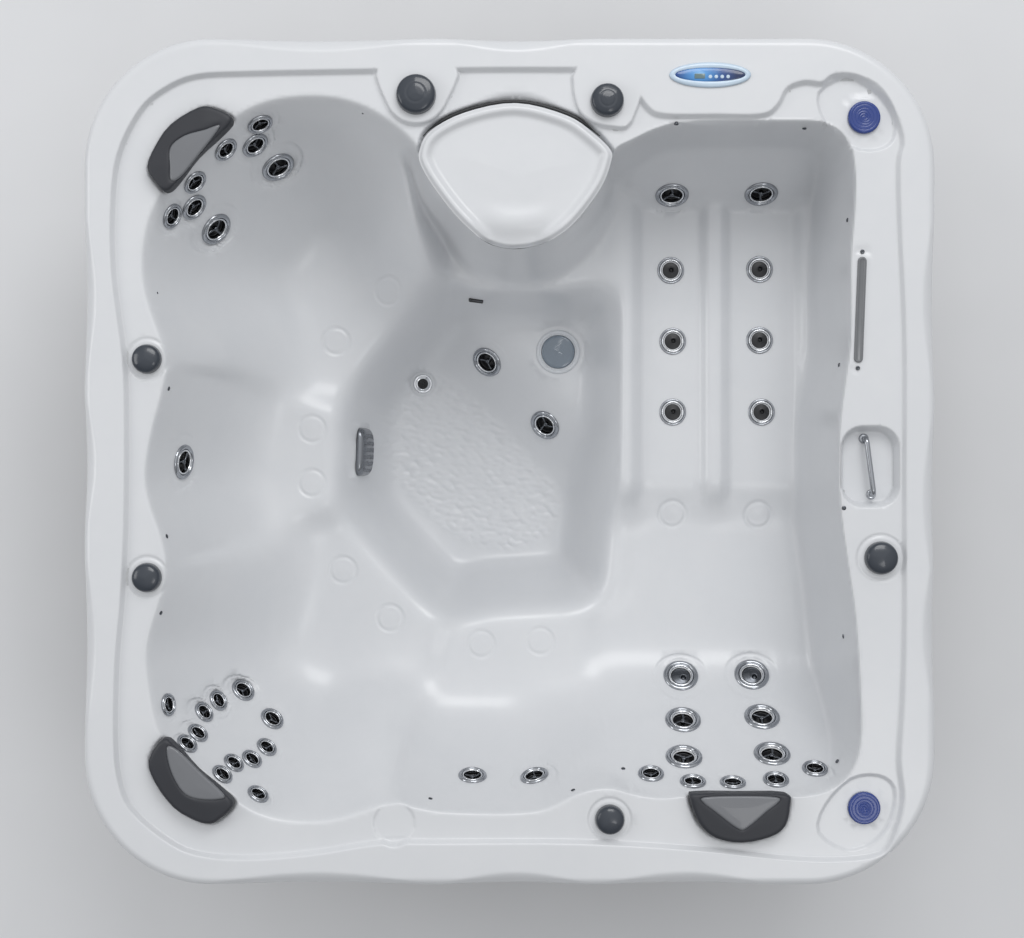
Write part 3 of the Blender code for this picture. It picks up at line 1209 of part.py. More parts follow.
def make_filter():
    ledge = HEIGHT - LID_LEDGE_DROP
    outer = FILTER_RADIUS - GAP
    flange = FILTER_RADIUS + FILTER_FLANGE
    inner = outer - FILTER_WALL
    housing = [(0, -FILTER_DEPTH + FILTER_WALL), (inner, -FILTER_DEPTH + FILTER_WALL),
               (inner, GAP + FILTER_WALL), (flange, GAP + FILTER_WALL), (flange, GAP), (outer, GAP),
               (outer, -FILTER_DEPTH), (0, -FILTER_DEPTH)]
    turned("filter_housing", housing, WIDE_SIDES, "grey_plastic", FILTER_SEATING.matrix())
    base = -FILTER_DEPTH + FILTER_WALL + GAP
    star = []
    for index in range(CARTRIDGE_PLEATS * 2):
        radius = CARTRIDGE_RADIUS - (index % 2) * CARTRIDGE_PLEAT_DEPTH
        angle = math.pi * index / CARTRIDGE_PLEATS
        star.append((radius * math.cos(angle), radius * math.sin(angle)))
    points, faces = slab_mesh([flat_loop(star, base), flat_loop(star, base + CARTRIDGE_HEIGHT)])
    cartridge = add_object("filter_cartridge", points, faces, "filter_paper", FILTER_SEATING.matrix(), False)
    bore = [(0, base - OVERRUN), (CARTRIDGE_BORE, base - OVERRUN),
            (CARTRIDGE_BORE, base + CARTRIDGE_HEIGHT + OVERRUN), (0, base + CARTRIDGE_HEIGHT + OVERRUN)]
    cutter = turned("cartridge_bore", bore, ROUND_SIDES, "black_plastic", FILTER_SEATING.matrix())
    boolean(cartridge, cutter, "DIFFERENCE")

    seat_height = ledge + GAP + FILTER_WALL + GAP
    line = resample(LID_LINE, POCKET_SPACING)
    edge = offset_loop(line, LID_EDGE / 2)
    crown = offset_loop(line, LID_RIM_WIDTH / 2)
    brim = offset_loop(line, LID_RIM_WIDTH)
    top = HEIGHT + LID_TOP_PROUD - GAP
    sections = [flat_loop(edge, seat_height), flat_loop(line, seat_height + LID_EDGE),
                flat_loop(line, top - LID_EDGE), flat_loop(offset_loop(line, LID_EDGE), top),
                flat_loop(crown, top), flat_loop(brim, top - LID_DISH)]
    slab("filter_lid", sections, "acrylic")


def make_pillows():
    """Pillows: drawn-in sides, a flat underside in the pocket and a crowned top."""
    floor = HEIGHT - PILLOW_POCKET_DROP + GAP
    for name, outline in PILLOW_LINES.items():
        line = offset_loop(resample(outline, PILLOW_SPACING), PILLOW_INSET)
        centre = line.mean(0)
        away = np.linalg.norm(line - centre, axis=1, keepdims=True)
        sections = [flat_loop(centre + (line - centre) * (1 - inset / away), floor + PILLOW_HEIGHT * share)
                    for inset, share in PILLOW_LEVELS]
        slab(name, sections, "pillow_foam", smooth=True)


def make_cabinet():
    """Base pan, four boards with grooves, four rounded corner posts."""
    base = outer_loop(BASE_INSET, WIDTH)
    slab("base_pan", [flat_loop(base, 0.0), flat_loop(base, BASE_THICKNESS)], "black_plastic")
    low = BASE_THICKNESS + GAP
    high = HEIGHT - LIP_DROP - CABINET_TOP_GAP
    pitch = (high - low) / (GROOVES + 1)
    outer = [(0.0, low)]
    for index in range(GROOVES):
        z = low + pitch * (index + 1)
        outer += [(0.0, z - GROOVE_WIDTH / 2), (-GROOVE_DEPTH, z), (0.0, z + GROOVE_WIDTH / 2)]
    outer += [(0.0, high)]
    profile = outer + [(-PANEL_BOARD, high), (-PANEL_BOARD, low)]
    sides = {"cabinet_front": (0, -1), "cabinet_back": (0, 1), "cabinet_left": (-1, 0), "cabinet_right": (1, 0)}
    for name, (dx, dy) in sides.items():
        reach = HALF[0] if dx else HALF[1]
        half = (HALF[1] if dx else HALF[0]) - CORNER_POST_RUN - POST_CLEARANCE
        face = reach - CABINET_INSET
        sections = []
        for along in (-half, half):
            sections.append([((face + out) * dx + along * dy, (face + out) * dy + along * dx, z)
                             for out, z in profile])
        slab(name, sections, "cabinet_board")
    radius = CORNER_RADIUS - CABINET_INSET
    names = ("corner_post_back_right", "corner_post_back_left",
             "corner_post_front_left", "corner_post_front_right")
    for index, (name, (sx, sy)) in enumerate(zip(names, ((1, 1), (-1, 1), (-1, -1), (1, -1)))):
        centre = np.array((sx, sy)) * (HALF - CORNER_RADIUS)
        edge_x = HALF[0] - CORNER_POST_RUN
        edge_y = HALF[1] - CORNER_POST_RUN
        outside, inside = [], []
        for step in range(CORNER_STEPS):
            angle = math.pi / 2 * (index + step / (CORNER_STEPS - 1))
            outside.append(centre + radius * np.array((math.cos(angle), math.sin(angle))))
            inside.append(centre + (radius - PANEL_BOARD) * np.array((math.cos(angle), math.sin(angle))))
        ends = []
        for group, reach_x, reach_y in ((outside, HALF[0] - CABINET_INSET, HALF[1] - CABINET_INSET),
                                        (inside, HALF[0] - CABINET_INSET - PANEL_BOARD,
                                         HALF[1] - CABINET_INSET - PANEL_BOARD)):
            first = (sx * reach_x, sy * edge_y) if index % 2 == 0 else (sx * edge_x, sy * reach_y)
            last = (sx * edge_x, sy * reach_y) if index % 2 == 0 else (sx * reach_x, sy * edge_y)
            ends.append((first, last))
        loop = [ends[0][0]] + outside + [ends[0][1], ends[1][1]] + inside[::-1] + [ends[1][0]]
        slab(name, [flat_loop(loop, low), flat_loop(loop, high)], "cabinet_board")


def make_frame():
    """One timber frame: a mitred ring at the bottom and the top, and posts up to the rim of the shell."""
    x, y = HALF - FRAME_INSET
    cut = CORNER_RADIUS * FRAME_CUT_SHARE
    low, high = BASE_THICKNESS + GAP, HEIGHT - FRAME_DROP

    def octagon(inset):
        return [(x - inset, -y + cut), (x - inset, y - cut), (x - cut, y - inset), (-x + cut, y - inset),
                (-x + inset, y - cut), (-x + inset, -y + cut), (-x + cut, -y + inset), (x - cut, -y + inset)]

    outer, inner = octagon(0), octagon(FRAME_BOARD)
    frame = None
    for index, (z0, z1) in enumerate(((low, low + FRAME_BEAM), (high - FRAME_BEAM, high))):
        points = flat_loop(outer, z0) + flat_loop(outer, z1) + flat_loop(inner, z1) + flat_loop(inner, z0)
        count = len(outer)
        faces = []
        for band in range(4):
            a, b = band * count, (band + 1) % 4 * count
            faces += [(a + i, a + (i + 1) % count, b + (i + 1) % count, b + i) for i in range(count)]
        rail = add_object("support_frame" if frame is None else "frame_top_rail", points, faces, "frame_timber",
                          smooth=False)
        if frame is None:
            frame = rail
        else:
            boolean(frame, rail, "UNION")
    post = FRAME_BOARD * FRAME_POST_RATIO
    top = HEIGHT - STEP_DROP - SHELL_WALL - FRAME_POST_CLEARANCE
    for index, (share_x, share_y) in enumerate(FRAME_POST_SHARES):
        px, py = share_x * (x - FRAME_BOARD / 2), share_y * (y - FRAME_BOARD / 2)
        half_x, half_y = (post / 2, post) if abs(share_x) == 1 else (post, post / 2)
        piece = box(f"frame_post_{index}", (px - half_x, py - half_y, low + FRAME_BEAM / 2),
                    (px + half_x, py + half_y, top), "frame_timber")
        boolean(frame, piece, "UNION")


def make_footwell_block():
    """Foam block that carries the footwell's floor on the base pan."""
    low = BASE_THICKNESS + GAP
    x, y = place(BLOCK_SHARE)
    top = float(shell_height(np.array([x]), np.array([y]))[0]) - SHELL_WALL - GAP
    box("footwell_block", (x - BLOCK_LENGTH / 2, y - BLOCK_WIDTH / 2, low),
        (x + BLOCK_LENGTH / 2, y + BLOCK_WIDTH / 2, top), "foam_block")


def make_pump():
    """Jet pump: motor with its feet, wet end open at the front, impeller on its shaft."""
    centre = place(PUMP_SHARE)
    low = BASE_THICKNESS + GAP
    facing = Matrix.Rotation(math.pi / 2, 4, "Y")
    middle = Matrix.Translation((centre[0], centre[1], PUMP_AXIS_HEIGHT)) @ facing
    bore = SHAFT_RADIUS + SHAFT_CLEARANCE
    motor = turned("pump_motor", [(0, -PUMP_BODY_LENGTH), (PUMP_BODY_RADIUS, -PUMP_BODY_LENGTH),
                                  (PUMP_BODY_RADIUS, 0), (bore, 0), (bore, -SHAFT_DEPTH), (0, -SHAFT_DEPTH)],
                   WIDE_SIDES, "motor_paint", middle)
    half = PUMP_BODY_RADIUS * PUMP_FOOT_RATIO
    far, near = (PUMP_BODY_LENGTH * share for share in PUMP_FOOT_SPAN)
    foot = box("pump_foot", (centre[0] - far, centre[1] - half, low),
               (centre[0] - near, centre[1] + half, PUMP_AXIS_HEIGHT - half), "motor_paint")
    boolean(motor, foot, "UNION")
    inner = PUMP_WET_RADIUS - PUMP_WALL
    neck = SHAFT_RADIUS + PUMP_WALL
    eye = PUMP_WALL * PUMP_EYE_RATIO
    wet = turned("pump_wet_end", [(neck, GAP), (PUMP_WET_RADIUS, GAP), (PUMP_WET_RADIUS, PUMP_WET_LENGTH),
                                  (eye, PUMP_WET_LENGTH), (eye, PUMP_WET_LENGTH - PUMP_WALL),
                                  (inner, PUMP_WET_LENGTH - PUMP_WALL), (inner, PUMP_WALL), (neck, PUMP_WALL)],
                 WIDE_SIDES, "black_plastic", middle)
    port_start = middle @ Vector((-(PUMP_WET_RADIUS - PUMP_WALL / 2), 0, PUMP_WET_LENGTH / 2))
    port_end = port_start + Vector((0, 0, PUMP_WET_RADIUS * PUMP_PORT_RISE))
    outlet = rod_between("pump_outlet", port_start, port_end, PUMP_WALL * PUMP_PORT_RATIO, "black_plastic",
                         ROUND_SIDES)
    boolean(wet, outlet, "UNION")
    middle_z = PUMP_WET_LENGTH / 2
    half = IMPELLER_THICKNESS / 2
    turned("pump_impeller", [(0, -SHAFT_DEPTH + PUMP_WALL / 2), (SHAFT_RADIUS, -SHAFT_DEPTH + PUMP_WALL / 2),
                             (SHAFT_RADIUS, middle_z - half), (IMPELLER_RADIUS, middle_z - half),
                             (IMPELLER_RADIUS, middle_z + half * IMPELLER_EDGE),
                             (SHAFT_RADIUS * 2, middle_z + half), (0, middle_z + half)],
           WIDE_SIDES, "white_plastic", middle)


def make_small_equipment():
    low = BASE_THICKNESS + GAP
    centre = (CIRC_SHARE * HALF[0], HALF[1] - FRAME_INSET - FRAME_BOARD - CIRC_CLEARANCE - CIRC_RADIUS)
    base = Matrix.Translation((centre[0], centre[1], low))
    profile = [(0, 0)] + [(CIRC_RADIUS * across, CIRC_LENGTH * up) for across, up in CIRC_DOME]
    body = turned("circulation_pump", profile, ROUND_SIDES, "motor_paint", base)
    height = low + CIRC_LENGTH * CIRC_PORT_SHARE
    port = rod_between("circulation_port", (centre[0], centre[1], height),
                       (centre[0] - CIRC_RADIUS * 2, centre[1], height), PIPE_RADIUS, "motor_paint")
    boolean(body, port, "UNION")
    centre = place(PACK_SHARE)
    size = Vector(PACK_SIZE)
    box("control_pack", (centre[0] - size.x / 2, centre[1] - size.y / 2, low),
        (centre[0] + size.x / 2, centre[1] + size.y / 2, low + size.z), "white_plastic")
    y = centre[1] - size.y / 2 - HEATER_RADIUS - GAP * 2
    z = low + HEATER_RADIUS * math.cos(math.pi / WIDE_SIDES)
    start = Vector((centre[0] - HEATER_LENGTH / 2, y, z))
    collar = HEATER_RADIUS * HEATER_COLLAR_RATIO
    heater = rod_between("heater_tube", start, start + Vector((HEATER_LENGTH, 0, 0)), HEATER_RADIUS, "chrome",
                         WIDE_SIDES)
    for index, side in enumerate((-1, 1)):
        end = Vector((centre[0] + side * (HEATER_LENGTH / 2 - OVERRUN), y, z))
        boolean(heater, rod_between(f"heater_union_{index}", end, end + Vector((side * HEATER_RADIUS, 0, 0)),
                                    collar, "grey_plastic", ROUND_SIDES), "UNION")
    centre = place(OZONE_SHARE)
    size = Vector(OZONE_SIZE)
    box("ozone_generator", (centre[0] - size.x / 2, centre[1] - size.y / 2, low),
        (centre[0] + size.x / 2, centre[1] + size.y / 2, low + size.z), "white_plastic")
    x = FRAME_INSET + FRAME_BOARD + VALVE_CLEARANCE - HALF[0]
    y = FRAME_INSET + CORNER_RADIUS * FRAME_CUT_SHARE + VALVE_CLEARANCE + VALVE_RADIUS - HALF[1]
    height = low + VALVE_RADIUS * VALVE_RISE_RATIO
    rod = rod_between("drain_valve", (x, y, height), (x + VALVE_RADIUS * VALVE_LENGTH_RATIO, y, height),
                      VALVE_RADIUS, "white_plastic", ROUND_SIDES)
    foot = VALVE_RADIUS * VALVE_FOOT_RATIO
    boolean(rod, box("drain_valve_foot", (x + VALVE_RADIUS, y - foot, low),
                     (x + VALVE_RADIUS * 3, y + foot, height), "white_plastic"), "UNION")


def main():
    clear_scene()
    FINISH.update(finishes())
    make_shell()
    make_jets()
    make_knobs()
    make_caps()
    make_control_panel()
    make_waterfall()
    make_grab_rail()
    make_footwell_fittings()
    make_filter()
    make_pillows()
    make_cabinet()
    make_frame()
    make_footwell_block()
    make_pump()
    make_small_equipment()


main()
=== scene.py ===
import json
import math

import bmesh
import bpy
import numpy as np
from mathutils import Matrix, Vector, geometry


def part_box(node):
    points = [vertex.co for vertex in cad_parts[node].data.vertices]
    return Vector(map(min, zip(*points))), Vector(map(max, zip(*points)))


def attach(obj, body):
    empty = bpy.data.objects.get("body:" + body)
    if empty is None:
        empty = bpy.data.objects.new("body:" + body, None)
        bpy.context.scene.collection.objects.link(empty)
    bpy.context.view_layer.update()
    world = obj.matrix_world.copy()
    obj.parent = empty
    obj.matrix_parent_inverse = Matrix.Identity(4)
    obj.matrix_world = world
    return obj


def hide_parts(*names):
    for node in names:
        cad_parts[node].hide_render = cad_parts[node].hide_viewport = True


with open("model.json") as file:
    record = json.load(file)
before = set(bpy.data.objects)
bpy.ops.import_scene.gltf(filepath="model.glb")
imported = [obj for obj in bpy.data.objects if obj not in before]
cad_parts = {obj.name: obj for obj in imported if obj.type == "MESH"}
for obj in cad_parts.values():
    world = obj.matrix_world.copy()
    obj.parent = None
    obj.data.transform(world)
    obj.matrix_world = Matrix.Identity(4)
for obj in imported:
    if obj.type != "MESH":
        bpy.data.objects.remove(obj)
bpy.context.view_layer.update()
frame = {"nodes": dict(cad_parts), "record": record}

NODES = frame["nodes"]

# Sizes, the same as the solids'
WIDTH, LENGTH, HEIGHT = 2.10, 2.09, 0.90
HALF = np.array([WIDTH / 2, LENGTH / 2])
CORNER_RADIUS = 0.32
GAP = 0.0003
SHELL_WALL = 0.006
LIP_DROP, LIP_DRAFT, LIP_RADIUS = 0.085, 0.004, 0.022
STEP_DROP, STEP_RUN = 0.016, 0.022
WAVE_DEPTH, WAVE_SLOPE, WAVE_CURVE, WAVE_BLEND = 0.034, 0.42, 12.0, 0.004
EDGE_HEIGHT, EDGE_BLEND = 0.88, 0.016
CORNER_SEAT_DEPTH, SIDE_SEAT_DEPTH, LEG_DEPTH, LOUNGE_SEAT_DEPTH = 0.50, 0.46, 0.445, 0.49
CORNER_BACK_RUN, SIDE_BACK_RUN, SIDE_BACK_POWER = 0.42, 0.40, 3.0
LOUNGE_BACK_RUN, LOUNGE_SIDE_RUN = 0.42, 0.04
FOOT_REST_DROP, FOOT_REST_SLOPE, FOOT_REST_BLEND = 0.21, 1.59, 0.03
BACK_OVERDEPTH, SEAT_BLEND = 0.02, 0.07
LANDING_DEPTH, LANDING_BACK_RUN, LANDING_SIDES, LANDING_FRONT = 0.41, 0.07, (-.16, .30), .30
RIDGE_RISE, RIDGE_RUN, BEYOND_SLOPE = 0.024, 0.11, 2.0
CHANNEL_DEPTH, CHANNEL_EDGE, LOUNGE_STEP_RUN = 0.024, 0.018, 0.16
BASIN_ROUNDING = 0.022
FOOT_DEPTH, FOOT_BRIM_DEPTH, FOOT_WALL_RUN, FOOT_WALL_POWER, FOOT_BLEND = 0.80, 0.425, 0.11, 1.5, 0.08
LEDGE_RISE, LEDGE_SLOPE, LEDGE_BLEND = 0.165, 0.85, 0.03
LID_LEDGE_DROP, PILLOW_POCKET_DROP, CAP_POCKET_DROP = 0.040, 0.030, 0.022
RAIL_POCKET_DROP, RAIL_POCKET_RADIUS, RAIL_POCKET_WIDTH, RAIL_POCKET_LENGTH = 0.055, 0.045, 0.128, 0.182
CAP_POCKET_RADIUS, BLANK_POCKET_DROP, BLANK_RADIUS, POCKET_SLOPE = 0.060, 0.020, 0.050, 6.0

BASIN_SHARES = (
    (-.211, .737), (-.18, .65), (-.119, .574), (-.06, .524), (.015, .503), (.084, .515), (.133, .543),
    (.178, .584), (.22, .652), (.246, .726), (.293, .754), (.35, .782), (.425, .797), (.64, .799),
    (.741, .794), (.79, .76), (.807, .69), (.807, .6), (.798, .475), (.798, .288), (.786, .198), (.772, .08),
    (.772, -.05), (.776, -.136), (.793, -.257), (.809, -.378), (.82, -.56), (.818, -.67), (.795, -.735),
    (.75, -.775), (.68, -.792), (.543, -.79), (.425, -.79), (.355, -.797), (.293, -.785), (.24, -.765),
    (.199, -.766), (.159, -.778), (.121, -.80), (.072, -.82), (-.02, -.827), (-.157, -.823), (-.225, -.811),
    (-.277, -.801), (-.338, -.818), (-.406, -.842), (-.472, -.846), (-.534, -.842), (-.609, -.818),
    (-.729, -.726), (-.814, -.652), (-.833, -.58), (-.85, -.463), (-.845, -.416), (-.82, -.34),
    (-.80, -.26), (-.812, -.183), (-.84, -.1), (-.85, -.03), (-.838, .06), (-.815, .15), (-.80, .24),
    (-.826, .321), (-.85, .389), (-.859, .472), (-.842, .576), (-.812, .633), (-.734, .719), (-.654, .80),
    (-.60, .835), (-.534, .853), (-.458, .858), (-.397, .853), (-.324, .827), (-.263, .785))
STEP_SHARES = (
    (-.9, .239), (-.925, .438), (-.928, .589), (-.914, .716), (-.864, .821), (-.806, .873), (-.731, .904),
    (-.605, .911), (-.35, .916), (-.05, .92), (.118, .92), (.228, .918), (.266, .905), (.291, .875),
    (.322, .83), (.36, .812), (.48, .811), (.59, .812), (.628, .836), (.65, .875), (.69, .89), (.729, .887),
    (.754, .904), (.785, .908), (.822, .897), (.885, .843), (.918, .76), (.909, .70), (.912, .55),
    (.923, .286), (.923, -.05), (.923, -.373), (.918, -.561), (.91, -.702), (.918, -.796), (.89, -.895),
    (.855, -.925), (.759, -.935), (.635, -.93), (.422, -.908), (.15, -.893), (-.156, -.893), (-.305, -.895),
    (-.455, -.918), (-.605, -.93), (-.717, -.923), (-.792, -.894), (-.881, -.819), (-.912, -.746),
    (-.921, -.648), (-.918, -.476), (-.905, -.32), (-.897, -.15), (-.895, .08))
FOOTWELL_SHARES = (
    (-.40, .215), (-.424, .15), (-.432, .0), (-.437, -.09), (-.41, -.16), (-.30, -.288), (-.19, -.395),
    (-.12, -.40), (-.051, -.383), (.131, -.371), (.225, -.35), (.245, -.256), (.258, -.082), (.265, .118),
    (.265, .38), (.25, .43), (.131, .433), (-.08, .437), (-.14, .452), (-.20, .425), (-.297, .345))
LID_SHARES = (
    (-.211, .729), (-.186, .776), (-.104, .82), (.015, .842), (.134, .813), (.197, .771), (.237, .731),
    (.237, .703), (.216, .647), (.165, .576), (.12, .534), (.071, .511), (.015, .501), (-.034, .508),
    (-.074, .529), (-.127, .579), (-.179, .647), (-.207, .696))
PILLOW_SHARES = {
    "pillow_top_left": (
        (-.845, .689), (-.826, .738), (-.789, .79), (-.723, .83), (-.686, .828), (-.644, .804),
        (-.668, .770), (-.728, .714), (-.774, .653), (-.802, .630), (-.828, .656)),
    "pillow_bottom_left": (
        (-.807, -.647), (-.842, -.698), (-.826, -.752), (-.782, -.811), (-.73, -.842), (-.7, -.849),
        (-.679, -.842), (-.641, -.804), (-.668, -.772), (-.728, -.722), (-.776, -.668)),
    "pillow_lounger": (
        (.419, -.788), (.431, -.776), (.539, -.776), (.646, -.778), (.655, -.804), (.644, -.853),
        (.609, -.879), (.541, -.893), (.478, -.881), (.44, -.846))}
INSERT_SHARES = {
    "pillow_top_left": (
        (-.672, .784), (-.71, .775), (-.757, .761), (-.789, .733), (-.79, .69), (-.787, .655), (-.762, .668),
        (-.72, .720)),
    "pillow_bottom_left": (
        (-.797, -.667), (-.788, -.722), (-.76, -.772), (-.724, -.789), (-.672, -.789), (-.665, -.776),
        (-.72, -.724), (-.77, -.675)),
    "pillow_lounger": (
        (.452, -.784), (.541, -.781), (.622, -.784), (.625, -.797), (.60, -.817), (.552, -.857),
        (.53, -.858), (.478, -.819), (.45, -.797))}
KNOB_PAD_SHARES = (
    ((-.303, .93), (-.291, .849), (-.261, .806), (-.218, .792), (-.176, .806), (-.144, .849), (-.127, .93)),
    ((.16, .93), (.155, .84), (.188, .80), (.239, .785), (.286, .797), (.31, .93)))
CAP_PAD_SHARES = {
    "corner_cap_back": (
        (.725, .868), (.74, .80), (.80, .742), (.865, .735), (.902, .765), (.895, .83), (.855, .885),
        (.79, .905)),
    "corner_cap_front": (
        (.725, -.875), (.74, -.81), (.80, -.748), (.865, -.74), (.902, -.77), (.895, -.84), (.855, -.895),
        (.79, -.915))}
PEBBLE_SHARES = (
    (-.241, .217), (-.347, .172), (-.375, .06), (-.347, -.038), (-.305, -.08), (-.194, -.192),
    (-.082, -.242), (.057, -.248), (.141, -.164), (.141, -.08), (.057, .018), (-.026, .116), (-.11, .2),
    (-.194, .251))
RIDGE_CORNER_SIDE = ((-.875, .237), (-.432, .149))
RIDGE_SIDE_CORNER = ((-.875, -.266), (-.447, -.131))
RIDGE_BOTTOM_CORNER = ((-.156, -.405), (-.288, -.864))
RIDGE_LOUNGE_BOTTOM = ((.200, -.40), (.238, -.838))
RIDGE_LOUNGE_FOOTWELL = ((.30, .75), (.268, -.35))
RIDGE_SWAP = (-.42, -.32)
TOP_SEAT_END, LOUNGE_BACK_EDGE, LOUNGE_FOOT_EDGE, LOUNGE_KNEE = -.05, -.797, .799, -.04
CHANNELS = ((.325, .505), (.553, .748))
LEDGE = ((.141, -.08), (-.194, .251))
FACETS = {
    "back": ((-.73, -.17), (-.17, .2)),
    "front": ((-.73, -.17), (-.17, .2), (.2, .62)),
    "left": ((-.66, -.2), (-.18, .17), (.17, .6)),
    "right": ((-.6, -.2), (-.32, .14), (.14, .6))}

JET_RADIUS = {"large": 0.043, "medium": 0.035, "small": 0.0315, "mini": 0.0272}
JET_THROAT_RATIO, JET_FLANGE, JET_BODY_DEPTH, JET_CLEARANCE = 0.62, 0.006, 0.062, 0.0005
PIPE_RADIUS = 0.014
JETS = {
    "jets_top_left_seat": (
        (-.5945, .8079, "small"), (-.6144, .7676, "medium"), (-.5733, .7328, "large"), (-.7264, .5782, "large"),
        (-.7613, .617, "medium"), (-.8055, .5887, "small"), (-.7490, .668, "small"), (-.6755, .746, "small")),
    "jets_left_seat": ((-.7957, -.0012, "large"),),
    "jets_bottom_left_seat": (
        (-.8113, -.5805, "mini"), (-.7651, -.6733, "mini"), (-.7495, -.6564, "mini"), (-.7469, -.6157, "mini"),
        (-.7224, -.5953, "mini"), (-.6726, -.5804, "small"), (-.5976, -.651, "small"), (-.5996, -.709, "mini"),
        (-.6267, -.7273, "mini"), (-.6625, -.7280, "mini"), (-.6805, -.7450, "mini"), (-.5985, -.7959, "mini")),
    "jets_bottom_seat": ((-.0905, -.7718, "medium"), (.0606, -.7705, "medium")),
    "jets_lounger_back": (
        (.4418, -.5552, "large"), (.625, -.5528, "large"), (.6351, -.6457, "large"), (.4355, -.6519, "large"),
        (.4253, -.7236, "large"), (.6415, -.7181, "large")),
    "jets_lounger_shoulders": (
        (.3398, -.7540, "small"), (.4374, -.7675, "small"), (.5322, -.7691, "small"), (.6365, -.7643, "small"),
        (.7369, -.7452, "small")),
    "jets_lounger_legs": (
        (.4169, .4967, "medium"), (.4221, .3125, "medium"), (.4221, .1284, "medium"), (.6518, .1284, "medium"),
        (.6467, .3151, "medium"), (.6467, .4993, "medium")),
    "jets_lounger_feet": ((.4161, .6856, "large"), (.6440, .6880, "large")),
    "jets_footwell": ((-.0615, .2733, "large"), (.0973, .1005, "large"))}
TURNING_JETS = {
    ("jets_top_left_seat", 2): "nozzle_top_left_right", ("jets_top_left_seat", 3): "nozzle_top_left_left",
    ("jets_left_seat", 0): "nozzle_left_seat", ("jets_lounger_feet", 0): "nozzle_lounger_foot_left",
    ("jets_lounger_feet", 1): "nozzle_lounger_foot_right"}
KNOBS = {
    "diverter_knob_left": (-.218, .86, 0.049), "diverter_knob_right": (.228, .846, 0.041),
    "air_knob_left_back": (-.849, .241, 0.0365), "air_knob_left_front": (-.849, -.273, 0.0365),
    "air_knob_front": (.235, -.842, 0.0365), "air_knob_right": (.87, -.227, 0.041)}
KNOB_HEIGHT = 0.030
CAPS = {"corner_cap_back": (.831, .81), "corner_cap_front": (.831, -.816)}
CAP_RADIUS, CAP_HEIGHT, CAP_SKIRT_RADIUS, CAP_SKIRT_DEPTH = 0.040, 0.012, 0.030, 0.035
BLANK_SHARE = (-.27, -.851)
PANEL_SHARE, PANEL_HALF_LENGTH, PANEL_HALF_WIDTH, PANEL_HEIGHT = (.468, .906), 0.100, 0.031, 0.007
BUTTON_RADIUS, BUTTON_PITCH, BUTTON_OFFSET = 0.0055, 0.0145, -0.005
SPOUT_SHARES, SPOUT_WIDTH, SPOUT_HEIGHT = ((.826, .471), (.817, .243)), 0.022, 0.005
RAIL_POCKET_SHARE, RAIL_TURN, RAIL_RADIUS = (.846, -.012), math.radians(7.5), 0.0065
RAIL_SPAN, RAIL_RISE, RAIL_BEND = 0.140, 0.034, 0.014
LIGHT_SHARE, LIGHT_LENS_RADIUS, LIGHT_RING_RADIUS, LIGHT_THROAT_RADIUS = (.131, .2965), 0.047, 0.062, 0.040
LIGHT_DEPTH, LIGHT_LENS_HEIGHT = 0.050, 0.010
SUCTION_SHARE, SUCTION_HALF_WIDTH, SUCTION_HALF_HEIGHT, SUCTION_CORNER = (-.395, .0256), 0.068, 0.056, 0.022
SUCTION_HEIGHT = 0.024
DRAIN_SHARE, DRAIN_RADIUS, DRAIN_THROAT_RADIUS, DRAIN_DEPTH = (-.241, .217), 0.028, 0.015, 0.045
LID_GAP, LID_EDGE, LID_RIM_WIDTH, LID_DISH, LID_TOP_PROUD = 0.004, 0.010, 0.036, 0.012, 0.004
FILTER_SHARE, FILTER_RADIUS = (.013, .690), 0.125
PILLOW_INSET, PILLOW_HEIGHT = 0.0035, 0.048
LED_SHARES = (
    (-.3456, .826), (-.8352, .4011), (-.8033, .1724), (-.8077, -.177), (-.8201, -.3582), (-.3988, -.8239),
    (-.1878, -.8041), (.1498, -.7785), (.2744, -.7446), (.7875, -.7238), (.806, -.4246), (.7837, -.1095),
    (.787, .232), (.802, .5764), (.700, .7935), (.391, .7935))
DIMPLE_SHARES = (
    (-.3144, .4433), (-.4538, .3166), (-.512, .0846), (-.5121, -.056), (-.4356, -.2852), (-.3127, -.4114),
    (-.0739, -.4755), (.0791, -.4678), (.4236, -.1366), (.6464, -.1393))
SLIT_SHARE = (-.088, .423)


# The shell's surface, as the solids have it

def place(share):
    """Metres for a pair of shares of the half width and half length."""
    return np.array(share, float) * HALF


def closed_curve(shares, per_span=4):
    """Catmull-Rom spline through the shares, closed, in metres."""
    points = np.array(shares, float) * HALF
    before, start, end, after = (np.roll(points, shift, 0)[:, None, :] for shift in (1, 0, -1, -2))
    t = (np.arange(per_span) / per_span)[None, :, None]
    line = 0.5 * (2 * start + (end - before) * t + (2 * before - 5 * start + 4 * end - after) * t ** 2
                  + (3 * start - before - 3 * end + after) * t ** 3)
    return line.reshape(-1, 2)


